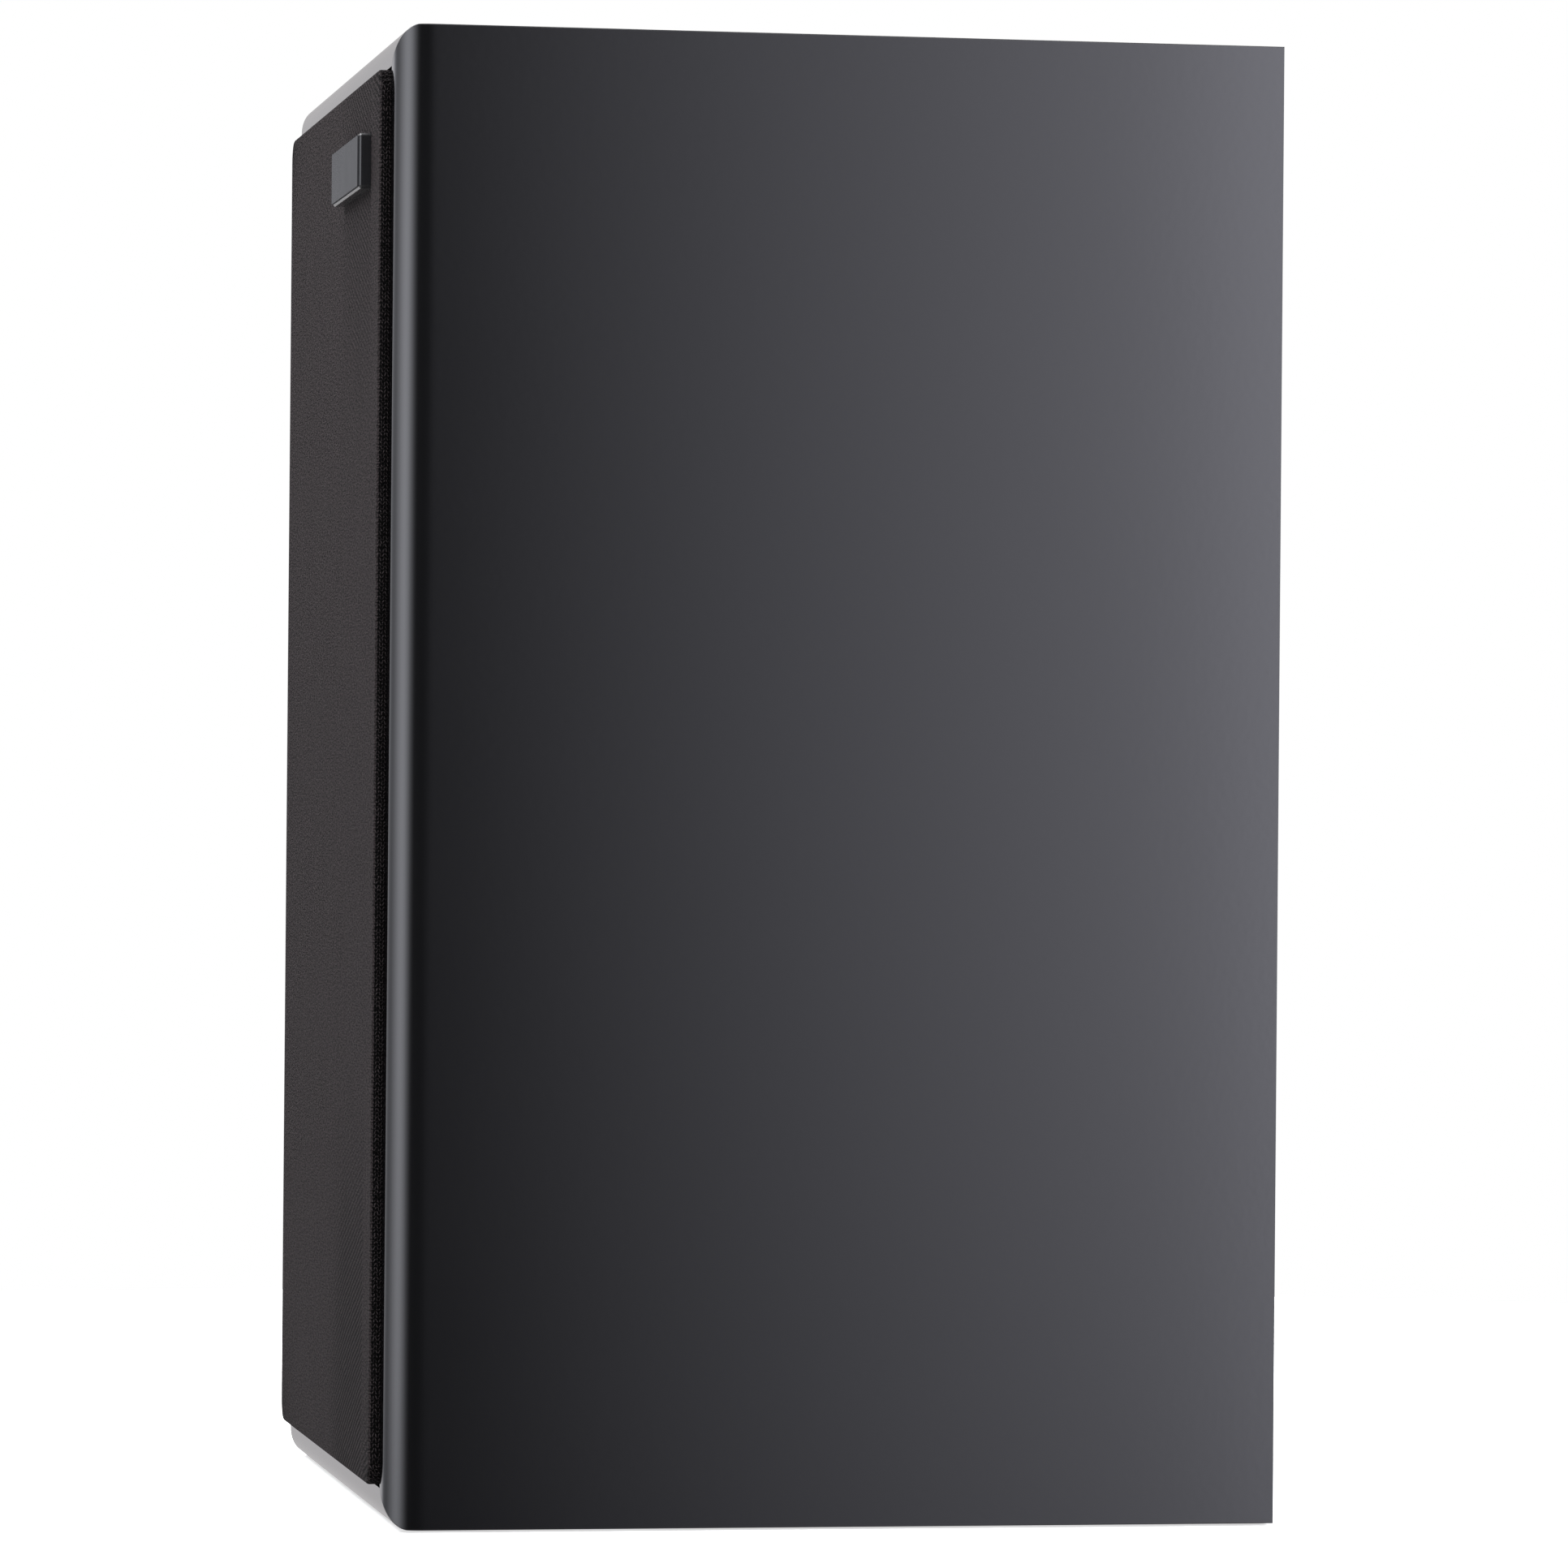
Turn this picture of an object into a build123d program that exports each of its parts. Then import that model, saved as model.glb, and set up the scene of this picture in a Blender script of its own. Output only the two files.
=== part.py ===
"""Closed-box two-way bookshelf speaker: cabinet, grille, drive units, crossover and terminals.

Millimetres. The origin is the centre of the cabinet's base face. +Z is up, the listener is
towards -Y and +X is the right-hand side as the listener sees it.
"""

from build123d import *
import os
from math import atan, cos, degrees, pi, radians, sin

# ------------------------------------------------------------------ cabinet
CABINET_WIDTH = 189.0
CABINET_HEIGHT = 306.0
CABINET_DEPTH = 185.0
WALL = 8.0  # side, top and bottom boards, mitred at the four long corners
EDGE_SPREAD = 7.5  # front edge rounding, measured across the front
EDGE_DEPTH = 4.5  # front edge rounding, measured along the side
JOINT_GAP = 0.25  # slack round the boards that drop in between the walls

BAFFLE_RECESS = 12.0  # the baffle's face lies this far behind the front edge
BAFFLE_THICKNESS = 12.0
REBATE_SLACK = 0.3  # round a drive unit's flange in its rebate
FRONT_BATTEN = 13.0
REAR_RECESS = 1.0
REAR_PANEL_THICKNESS = 9.0
REAR_PANEL_CHAMFER = 0.5
REAR_BATTEN = 13.0
REAR_GASKET_THICKNESS = 1.0
DAMPING_SHEET_THICKNESS = 3.0
FOAM_THICKNESS = 12.0
FOAM_MARGIN = 4.0  # clear strip between the linings and the battens

# ------------------------------------------------------------------ screws
WOOD_SCREW_SHANK_RADIUS = 1.9
WOOD_SCREW_HEAD_RADIUS = 3.8
WOOD_SCREW_LENGTH = 20.0
PAN_HEAD_HEIGHT = 1.8
PAN_HEAD_SHOULDER = 0.7  # how much narrower a head is at its crown
SCREW_TIP_COVER = 1.0  # wood left in front of a woofer screw's tip
SCREW_HOLE_SLACK = 0.3
SMALL_SCREW_SHANK_RADIUS = 1.5
SMALL_SCREW_HEAD_RADIUS = 2.9
SMALL_SCREW_LENGTH = 10.0
REAR_SCREW_ROWS = 3

# ------------------------------------------------------------------ grille
GRILLE_GAP = 0.35  # between the cloth and the cabinet walls
GRILLE_PROUD = 2.35  # the cloth's face stands this far in front of the cabinet edge
CLOTH_THICKNESS = 0.8
CLOTH_WRAP = 8.0  # how far the cloth follows the frame's sides
GRILLE_CORNER_RADIUS = 5.0
GRILLE_EDGE_RADIUS = 1.1
GRILLE_FRAME_BORDER = 12.5
GRILLE_FRAME_CLEARANCE = 0.3  # between the frame's back and the baffle
GRILLE_CROSSBAR_HEIGHT = 9.0
GRILLE_CROSSBAR_DEPTH = 5.0
GRILLE_WINDOW_FLARE = 2.5  # the windows widen by this much each side towards the baffle
PEG_RADIUS = 3.0
PEG_LENGTH = 8.0
PEG_FIT = 0.05
PEG_INSET = 6.5  # from the frame's edges to the peg's axis
SOCKET_WALL = 1.5
SOCKET_DEPTH = 9.5

BADGE_WIDTH = 49.0
BADGE_HEIGHT = 11.5
BADGE_BASE_THICKNESS = 2.4
BADGE_PLATE_THICKNESS = 0.4
BADGE_PLATE_MARGIN = 0.5
BADGE_CORNER_RADIUS = 0.8
BADGE_EDGE_RADIUS = 0.45
BADGE_SIDE_INSET = 14.9
BADGE_TOP_INSET = 12.0

# ------------------------------------------------------------------ woofer
WOOFER_HEIGHT = 88.0  # axis above the base
WOOFER_FLANGE_RADIUS = 68.0
WOOFER_FLANGE_THICKNESS = 4.0
WOOFER_FLANGE_CHAMFER = 0.6
WOOFER_CUTOUT_RADIUS = 58.0
WOOFER_SCREW_RADIUS = 62.5
WOOFER_SCREWS = 4
WOOFER_LIP_RADIUS = 57.0  # outer edge of the ledge that the surround is glued to
WOOFER_OPENING_RADIUS = 52.0
WOOFER_LEDGE_DEPTH = 1.5
CONE_RADIUS = 43.0
CONE_THICKNESS = 1.0  # measured front to back
CONE_FLARE_RADIUS = 27.0
CONE_FLARE_DEPTH = 12.5
CONE_DEPTH = 25.0
SURROUND_THICKNESS = 0.8
SURROUND_ROLL = 4.2
SURROUND_MARGIN = 0.5  # flat strip between the roll and the cone's rim or the ledge
SURROUND_OVERLAP = 2.0  # how far the surround is glued over the cone
SURROUND_FIT = 0.1  # round the surround's edge in the basket's ledge
DUST_CAP_RADIUS = 15.0
DUST_CAP_RISE = 4.0
DUST_CAP_THICKNESS = 0.7
FORMER_BORE_RADIUS = 12.6
FORMER_WALL = 0.5
WINDING_THICKNESS = 0.9
WINDING_LENGTH = 12.0
GAP_CLEARANCE = 0.4  # voice coil to steel, each side
BASKET_SKIRT_RADIUS = 56.0
BASKET_REAR_RADIUS = 43.0
BASKET_DEPTH = 48.5  # flange face to the top plate
BASKET_WALL = 3.0
BASKET_WINDOWS = 6
BASKET_WINDOW_WIDTH = 33.0
BASKET_WINDOW_CORNER = 4.0
BASKET_WINDOW_MARGIN = 2.5  # solid band above and below the windows
SPIDER_SEAT_DEPTH = 35.5
SPIDER_SEAT_WIDTH = 4.0
SPIDER_THICKNESS = 0.8
SPIDER_RIPPLE = 1.0  # each half wave's rise
SPIDER_RIPPLES = 2
SPIDER_SLACK = 0.3
SPIDER_HUB = 3.0  # flat margin round the former
TOP_PLATE_RADIUS = 42.0
TOP_PLATE_THICKNESS = 6.0
MAGNET_RADIUS = 45.0
MAGNET_BORE_RADIUS = 20.0
MAGNET_THICKNESS = 15.0
BACK_PLATE_RADIUS = 43.0
BACK_PLATE_THICKNESS = 6.0
TAG_STRIP_LENGTH = 12.0
TAG_STRIP_WIDTH = 10.0
TAG_STRIP_THICKNESS = 2.0
TAG_SPACING = 2.6
TAG_WIDTH = 1.8
TAG_THICKNESS = 0.8
TAG_LENGTH = 6.0

# ------------------------------------------------------------------ tweeter
TWEETER_HEIGHT = 222.0
TWEETER_PLATE_RADIUS = 47.0
TWEETER_PLATE_THICKNESS = 4.0
TWEETER_PLATE_CHAMFER = 0.6
TWEETER_CUTOUT_RADIUS = 36.0
TWEETER_BOSS_RADIUS = 33.0
TWEETER_BOSS_DEPTH = 2.0
TWEETER_THROAT_RADIUS = 17.0
TWEETER_MOUTH_RADIUS = 23.0
TWEETER_SCREW_RADIUS = 41.0
TWEETER_SCREWS = 4
DOME_RADIUS = 12.6
DOME_RISE = 4.5
DOME_THICKNESS = 0.4
DOME_SEAT_LIFT = 0.6  # the dome's foot in front of the magnet pot
TWEETER_ROLL_RADIUS = 16.4
TWEETER_ROLL_RISE = 1.2
TWEETER_COIL_WALL = 0.7
TWEETER_COIL_LENGTH = 5.5
POT_RADIUS = 24.0
POT_DEPTH = 16.0
POT_FLOOR = 3.5
TWEETER_POLE_THICKNESS = 4.0
GUARD_RADIUS = 25.0
GUARD_HEIGHT = 2.6
GUARD_THICKNESS = 0.8
GUARD_HOLE_PITCH = 6.6
GUARD_HOLE_WIDTH = 5.2
GUARD_RINGS = 3

# ------------------------------------------------------------------ terminals
TERMINAL_HEIGHT = 58.0
TERMINAL_PLATE_WIDTH = 78.0
TERMINAL_PLATE_HEIGHT = 50.0
TERMINAL_PLATE_THICKNESS = 2.5
TERMINAL_PLATE_CORNER = 5.0
TERMINAL_PLATE_EDGE_RADIUS = 0.8
TERMINAL_CUTOUT_WIDTH = 30.0
TERMINAL_CUTOUT_HEIGHT = 14.0
TERMINAL_SCREW_INSET = 5.5
POST_SPACING = 19.0
POST_RADIUS = 3.0
POST_BORE_RADIUS = 2.0
POST_BORE_LENGTH = 17.0
POST_TAIL = 11.0
POST_BOSS_RADIUS = 7.5
POST_BOSS_HEIGHT = 2.5
POST_NUT_WIDTH = 9.0
POST_NUT_THICKNESS = 3.0
COLLAR_RADIUS = 6.3
COLLAR_THICKNESS = 2.0
COLLAR_EDGE_RADIUS = 0.4
KNOB_RADIUS = 7.0
KNOB_LENGTH = 11.5
KNOB_EDGE_RADIUS = 1.0
KNOB_FLUTES = 6
KNOB_FLUTE_RADIUS = 2.2
THREAD_FIT = 0.05
KNOB_OVERHANG = 1.0  # the post ends this far inside the knob

# ------------------------------------------------------------------ crossover
BOARD_WIDTH = 118.0
BOARD_HEIGHT = 92.0
BOARD_THICKNESS = 1.6
BOARD_CENTRE_HEIGHT = 150.0
STANDOFF_LENGTH = 8.0
STANDOFF_WIDTH = 6.0
STANDOFF_INSET = 6.0
INDUCTOR_RADIUS = 19.0
INDUCTOR_BORE_RADIUS = 8.0
INDUCTOR_LENGTH = 15.0
INDUCTOR_SPREAD = 52.0
CAPACITOR_RADIUS = 8.0
CAPACITOR_LENGTH = 30.0
CAPACITOR_CHAMFER = 0.8
CAPACITOR_PITCH = 36.0
CAPACITOR_DROP = 8.0  # below the board's middle
RESISTOR_LENGTH = 26.0
RESISTOR_WIDTH = 9.0
RESISTOR_PITCH = 34.0
RESISTOR_EDGE_INSET = 16.0  # from the board's lower edge
LEAD_WIDTH = 5.0
LEAD_THICKNESS = 2.4
LEAD_BEND = 20.0
LEAD_RUN = 30.0  # straight stretch at each end
LEAD_EDGE_INSET = 5.0  # from the board's edge to the lead
WIRE_RADIUS = 1.2
WIRE_BEND = 7.0
WIRE_REACH = 11.0  # how far the input wires stand in front of the board

# ------------------------------------------------------------------ planes that the parts share
HALF_WIDTH = CABINET_WIDTH / 2
INNER_HALF_WIDTH = HALF_WIDTH - WALL
INNER_HEIGHT = CABINET_HEIGHT - 2 * WALL
MID_HEIGHT = CABINET_HEIGHT / 2
FRONT = -CABINET_DEPTH / 2
BACK = CABINET_DEPTH / 2
BAFFLE_FACE = FRONT + BAFFLE_RECESS
BAFFLE_BACK = BAFFLE_FACE + BAFFLE_THICKNESS
REAR_FACE = BACK - REAR_RECESS
REAR_INSIDE = REAR_FACE - REAR_PANEL_THICKNESS
REAR_BATTEN_BACK = REAR_INSIDE - REAR_GASKET_THICKNESS
GRILLE_FACE = FRONT - GRILLE_PROUD
GRILLE_HALF_WIDTH = INNER_HALF_WIDTH - GRILLE_GAP
GRILLE_HEIGHT = INNER_HEIGHT - 2 * GRILLE_GAP
FRAME_FRONT = GRILLE_FACE + CLOTH_THICKNESS
FRAME_BACK = BAFFLE_FACE - GRILLE_FRAME_CLEARANCE
FRAME_HALF_WIDTH = GRILLE_HALF_WIDTH - CLOTH_THICKNESS
FRAME_HEIGHT = GRILLE_HEIGHT - 2 * CLOTH_THICKNESS
CONE_RIM = BAFFLE_FACE + WOOFER_LEDGE_DEPTH
FORMER_RADIUS = FORMER_BORE_RADIUS + FORMER_WALL
NECK = CONE_RIM + CONE_DEPTH
BASKET_SEAT = BAFFLE_FACE + BASKET_DEPTH
SPIDER_SEAT = BAFFLE_FACE + SPIDER_SEAT_DEPTH
TOP_PLATE_BACK = BASKET_SEAT + TOP_PLATE_THICKNESS
MAGNET_BACK = TOP_PLATE_BACK + MAGNET_THICKNESS
WINDING_RADIUS = FORMER_RADIUS + WINDING_THICKNESS
FORMER_BACK = BASKET_SEAT + (TOP_PLATE_THICKNESS + WINDING_LENGTH) / 2
POT_FACE = BAFFLE_FACE + TWEETER_PLATE_THICKNESS + TWEETER_BOSS_DEPTH
DOME_FOOT = POT_FACE - DOME_SEAT_LIFT
TWEETER_COIL_BORE = DOME_RADIUS - TWEETER_COIL_WALL
WOOFER_TAG_X = TAG_STRIP_WIDTH / 2 - BASKET_REAR_RADIUS - TAG_STRIP_LENGTH
PLATE_FACE = REAR_FACE + TERMINAL_PLATE_THICKNESS
BOSS_FACE = PLATE_FACE + POST_BOSS_HEIGHT
COLLAR_BACK = BOSS_FACE + COLLAR_THICKNESS
KNOB_BACK = COLLAR_BACK + KNOB_LENGTH
POST_END = KNOB_BACK - KNOB_OVERHANG
BOARD_BACK = REAR_INSIDE - STANDOFF_LENGTH
BOARD_FRONT = BOARD_BACK - BOARD_THICKNESS


# ------------------------------------------------------------------ shared shapes
def block(x, y, z):
    """Rectangular solid between the three (low, high) pairs."""
    size = [high - low for low, high in (x, y, z)]
    centre = [(low + high) / 2 for low, high in (x, y, z)]
    return Pos(*centre) * Box(*size)


def spun(outline, x=0.0, z=0.0):
    """Solid of revolution about a front-to-back axis, from lines and arcs that close."""
    return Pos(x, 0, z) * revolve(make_face(outline), Axis.Y)


def turned(points, x=0.0, z=0.0):
    """Solid of revolution about a front-to-back axis, from (radius, y) points."""
    return spun(Polyline(*points, close=True), x, z)


def disc(radius, front, back, x=0.0, z=0.0):
    """Plain cylinder lying front to back."""
    return turned([(0, front), (radius, front), (radius, back), (0, back)], x, z)


def tube(bore, radius, front, back, x=0.0, z=0.0):
    """Hollow cylinder lying front to back."""
    return turned([(bore, front), (radius, front), (radius, back), (bore, back)], x, z)


def domed_shell(radius, rise, thickness, foot, z):
    """Thin spherical cap whose rim lies on the plane y=foot and whose crest points forward."""
    outer = (radius**2 + rise**2) / (2 * rise)
    centre = foot - rise + outer
    ball = Pos(0, centre, z) * (Sphere(outer) - Sphere(outer - thickness))
    return ball & disc(2 * radius, foot - 2 * rise, foot, z=z)


def plate(outline, front, back, x=0.0, z=0.0, taper=0.0):
    """Upright plate: the outline, drawn across and up, given depth from front to back."""
    face = Plane(origin=(x, front, z), x_dir=(-1, 0, 0), z_dir=(0, 1, 0)) * outline
    return extrude(face, back - front, taper=taper)


def screw(shank_radius, head_radius, length, seat, towards, x, z):
    """Pan-head screw whose head sits on the plane y=seat; towards is the y sign of its tip."""
    head = seat - towards * PAN_HEAD_HEIGHT
    tip = seat + towards * length
    return turned(
        [
            (0, head),
            (head_radius - PAN_HEAD_SHOULDER, head),
            (head_radius, seat),
            (shank_radius, seat),
            (shank_radius, tip),
            (0, tip),
        ],
        x,
        z,
    )


def ring_places(count, radius, height, start=45.0):
    """Evenly spaced (x, z) places on a circle about the point (0, height)."""
    angles = [radians(start + 360.0 * i / count) for i in range(count)]
    return [(radius * cos(a), height + radius * sin(a)) for a in angles]


def corner_places(half_width, low, high):
    """The (x, z) corners of an upright rectangle centred on x = 0."""
    return [(x, z) for x in (-half_width, half_width) for z in (low, high)]


def front_edges(solid):
    """Edges of a solid that lie in its front plane."""
    return solid.edges().group_by(Axis.Y)[0]


def rear_edges(solid):
    """Edges of a solid that lie in its rear plane."""
    return solid.edges().group_by(Axis.Y)[-1]


# ------------------------------------------------------------------ cabinet
def depth_outline(width):
    """Board outline across and front to back, with both front corners a quarter ellipse."""
    half = width / 2
    flat = half - EDGE_SPREAD
    shoulder = FRONT + EDGE_DEPTH
    right = EllipticalCenterArc(
        (flat, shoulder), EDGE_SPREAD, EDGE_DEPTH, start_angle=270, arc_size=90
    )
    left = EllipticalCenterArc(
        (-flat, shoulder), EDGE_SPREAD, EDGE_DEPTH, start_angle=180, arc_size=90
    )
    sides = Polyline((half, shoulder), (half, BACK), (-half, BACK), (-half, shoulder))
    return make_face([right, left, sides, Line((-flat, FRONT), (flat, FRONT))])


def cabinet_envelope():
    """Outer form of the wrap: where two edge-rounded prisms cross, their edges mitre."""
    across = extrude(depth_outline(CABINET_WIDTH), CABINET_HEIGHT)
    upright = Plane(origin=(0, 0, MID_HEIGHT), x_dir=(0, 0, 1), z_dir=(-1, 0, 0))
    along = extrude(upright * depth_outline(CABINET_HEIGHT), HALF_WIDTH, both=True)
    return across & along


def cabinet_walls():
    """The four boards, each a mitred slice of the envelope one wall thick."""
    envelope = cabinet_envelope()
    x, inner_x = HALF_WIDTH, INNER_HALF_WIDTH
    top, inner_top = CABINET_HEIGHT, CABINET_HEIGHT - WALL
    sections = {
        "cabinet_side_left": [(-x, 0), (-x, top), (-inner_x, inner_top), (-inner_x, WALL)],
        "cabinet_side_right": [(x, 0), (x, top), (inner_x, inner_top), (inner_x, WALL)],
        "cabinet_top": [(-x, top), (x, top), (inner_x, inner_top), (-inner_x, inner_top)],
        "cabinet_bottom": [(-x, 0), (x, 0), (inner_x, WALL), (-inner_x, WALL)],
    }
    walls = {}
    for name, corners in sections.items():
        section = Plane.XZ * make_face(Polyline(*corners, close=True))
        walls[name] = extrude(section, CABINET_DEPTH, both=True) & envelope
    return walls


def batten_frame(width, front, back):
    """Four glued strips lining the inside corner between the walls and a panel."""
    x, low, high = INNER_HALF_WIDTH, WALL, CABINET_HEIGHT - WALL
    uprights = [
        block((-x, width - x), (front, back), (low, high)),
        block((x - width, x), (front, back), (low, high)),
    ]
    rails = [
        block((width - x, x - width), (front, back), (low, low + width)),
        block((width - x, x - width), (front, back), (high - width, high)),
    ]
    return uprights + rails


def front_baffle():
    """Baffle with rebated cut-outs for both drive units and bores for the grille sockets."""
    x = INNER_HALF_WIDTH - JOINT_GAP
    low, high = WALL + JOINT_GAP, CABINET_HEIGHT - WALL - JOINT_GAP
    board = block((-x, x), (BAFFLE_FACE, BAFFLE_BACK), (low, high))
    for radius, cutout, depth, height in (
        (WOOFER_FLANGE_RADIUS, WOOFER_CUTOUT_RADIUS, WOOFER_FLANGE_THICKNESS, WOOFER_HEIGHT),
        (TWEETER_PLATE_RADIUS, TWEETER_CUTOUT_RADIUS, TWEETER_PLATE_THICKNESS, TWEETER_HEIGHT),
    ):
        rebate = radius + REBATE_SLACK
        board -= disc(rebate, BAFFLE_FACE, BAFFLE_FACE + depth, z=height)
        board -= disc(cutout, BAFFLE_FACE, BAFFLE_BACK, z=height)
    for x, z in peg_places():
        board -= disc(
            PEG_RADIUS + PEG_FIT + SOCKET_WALL, BAFFLE_FACE, BAFFLE_FACE + SOCKET_DEPTH, x, z
        )
    return board


def rear_screw_places():
    """Screws along both upright edges of the rear panel, on the battens' centre lines."""
    inset = REAR_BATTEN / 2
    x = INNER_HALF_WIDTH - inset
    low, high = WALL + inset, CABINET_HEIGHT - WALL - inset
    step = (high - low) / (REAR_SCREW_ROWS - 1)
    return [(side * x, low + step * row) for row in range(REAR_SCREW_ROWS) for side in (-1, 1)]


def rear_panel():
    """Removable back with the terminal cut-out and its screw holes."""
    x = INNER_HALF_WIDTH - JOINT_GAP
    low, high = WALL + JOINT_GAP, CABINET_HEIGHT - WALL - JOINT_GAP
    board = block((-x, x), (REAR_INSIDE, REAR_FACE), (low, high))
    board = chamfer(rear_edges(board), REAR_PANEL_CHAMFER)
    half_width, half_height = TERMINAL_CUTOUT_WIDTH / 2, TERMINAL_CUTOUT_HEIGHT / 2
    board -= block(
        (-half_width, half_width),
        (REAR_INSIDE, REAR_FACE),
        (TERMINAL_HEIGHT - half_height, TERMINAL_HEIGHT + half_height),
    )
    for x, z in rear_screw_places():
        board -= disc(
            WOOD_SCREW_SHANK_RADIUS + SCREW_HOLE_SLACK, REAR_INSIDE, REAR_FACE, x, z
        )
    return board


def rear_gasket():
    """Foam seal between the rear battens and the rear panel."""
    x = INNER_HALF_WIDTH - JOINT_GAP
    low, high = WALL + JOINT_GAP, CABINET_HEIGHT - WALL - JOINT_GAP
    depth = (REAR_BATTEN_BACK, REAR_INSIDE)
    sheet = block((-x, x), depth, (low, high))
    sheet -= block(
        (REAR_BATTEN - x, x - REAR_BATTEN), depth, (low + REAR_BATTEN, high - REAR_BATTEN)
    )
    for x, z in rear_screw_places():
        sheet -= disc(WOOD_SCREW_SHANK_RADIUS + SCREW_HOLE_SLACK, *depth, x, z)
    return sheet


def rear_panel_screws():
    """Screws that draw the rear panel on to its battens."""
    return [
        screw(
            WOOD_SCREW_SHANK_RADIUS, WOOD_SCREW_HEAD_RADIUS, WOOD_SCREW_LENGTH, REAR_FACE, -1, x, z
        )
        for x, z in rear_screw_places()
    ]


def lining(inset, thickness):
    """Sheets on the four walls between the front and rear battens, inset from the boards."""
    front = BAFFLE_BACK + FRONT_BATTEN + FOAM_MARGIN
    back = REAR_BATTEN_BACK - REAR_BATTEN - FOAM_MARGIN
    x = INNER_HALF_WIDTH - inset
    low, high = WALL + inset, CABINET_HEIGHT - WALL - inset
    inner = x - thickness
    return [
        block((-x, -inner), (front, back), (low, high)),
        block((inner, x), (front, back), (low, high)),
        block((-inner, inner), (front, back), (low, low + thickness)),
        block((-inner, inner), (front, back), (high - thickness, high)),
    ]


# ------------------------------------------------------------------ grille
def peg_places():
    """The grille's pegs, one near each corner of the frame."""
    half_width = FRAME_HALF_WIDTH - PEG_INSET
    half_height = FRAME_HEIGHT / 2 - PEG_INSET
    return corner_places(half_width, MID_HEIGHT - half_height, MID_HEIGHT + half_height)


def grille_frame():
    """Moulded frame with two flared windows, a thin crossbar and four pegs."""
    outline = RectangleRounded(
        2 * FRAME_HALF_WIDTH, FRAME_HEIGHT, GRILLE_CORNER_RADIUS - CLOTH_THICKNESS
    )
    frame = plate(outline, FRAME_FRONT, FRAME_BACK, z=MID_HEIGHT)
    frame = fillet(front_edges(frame), GRILLE_EDGE_RADIUS - CLOTH_THICKNESS)
    low = MID_HEIGHT - FRAME_HEIGHT / 2 + GRILLE_FRAME_BORDER
    high = MID_HEIGHT + FRAME_HEIGHT / 2 - GRILLE_FRAME_BORDER
    width = 2 * (FRAME_HALF_WIDTH - GRILLE_FRAME_BORDER)
    bar = (WOOFER_HEIGHT + WOOFER_FLANGE_RADIUS + TWEETER_HEIGHT - TWEETER_PLATE_RADIUS) / 2
    flare = degrees(atan(GRILLE_WINDOW_FLARE / (FRAME_BACK - FRAME_FRONT)))
    window = Rectangle(width, high - low)
    frame -= plate(window, FRAME_FRONT, FRAME_BACK, z=(low + high) / 2, taper=-flare)
    reach = width / 2 + GRILLE_WINDOW_FLARE
    frame += block(
        (-reach, reach),
        (FRAME_FRONT, FRAME_FRONT + GRILLE_CROSSBAR_DEPTH),
        (bar - GRILLE_CROSSBAR_HEIGHT / 2, bar + GRILLE_CROSSBAR_HEIGHT / 2),
    )
    for x, z in peg_places():
        frame += disc(PEG_RADIUS, FRAME_BACK, FRAME_BACK + PEG_LENGTH, x, z)
    return frame


def grille_cloth():
    """Cloth drawn over the frame's face and round its sides."""
    outer = RectangleRounded(2 * GRILLE_HALF_WIDTH, GRILLE_HEIGHT, GRILLE_CORNER_RADIUS)
    inner = RectangleRounded(
        2 * FRAME_HALF_WIDTH, FRAME_HEIGHT, GRILLE_CORNER_RADIUS - CLOTH_THICKNESS
    )
    hem = FRAME_FRONT + CLOTH_WRAP
    skin = plate(outer, GRILLE_FACE, hem, z=MID_HEIGHT)
    skin = fillet(front_edges(skin), GRILLE_EDGE_RADIUS)
    core = plate(inner, FRAME_FRONT, hem, z=MID_HEIGHT)
    core = fillet(front_edges(core), GRILLE_EDGE_RADIUS - CLOTH_THICKNESS)
    return skin - core


def grille_sockets():
    """Rubber cups in the baffle that grip the grille's pegs."""
    bore = PEG_RADIUS + PEG_FIT
    back = BAFFLE_FACE + SOCKET_DEPTH
    return [tube(bore, bore + SOCKET_WALL, BAFFLE_FACE, back, x, z) for x, z in peg_places()]


def badge_layer(margin, front, back):
    """One layer of the badge, inset by a margin from the badge's outline."""
    right = GRILLE_HALF_WIDTH - BADGE_SIDE_INSET
    top = MID_HEIGHT + GRILLE_HEIGHT / 2 - BADGE_TOP_INSET
    outline = RectangleRounded(
        BADGE_WIDTH - 2 * margin, BADGE_HEIGHT - 2 * margin, BADGE_CORNER_RADIUS - margin
    )
    return plate(outline, front, back, right - BADGE_WIDTH / 2, top - BADGE_HEIGHT / 2)


def badge_base():
    """Moulded body of the badge, stuck to the cloth."""
    body = badge_layer(0.0, GRILLE_FACE - BADGE_BASE_THICKNESS, GRILLE_FACE)
    return fillet(front_edges(body), BADGE_EDGE_RADIUS)


def badge_plate():
    """Thin metal face of the badge, left bare."""
    front = GRILLE_FACE - BADGE_BASE_THICKNESS
    return badge_layer(BADGE_PLATE_MARGIN, front - BADGE_PLATE_THICKNESS, front)


# ------------------------------------------------------------------ woofer
def woofer_screw_places():
    """Fixing screws round the woofer's flange."""
    return ring_places(WOOFER_SCREWS, WOOFER_SCREW_RADIUS, WOOFER_HEIGHT)


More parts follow.
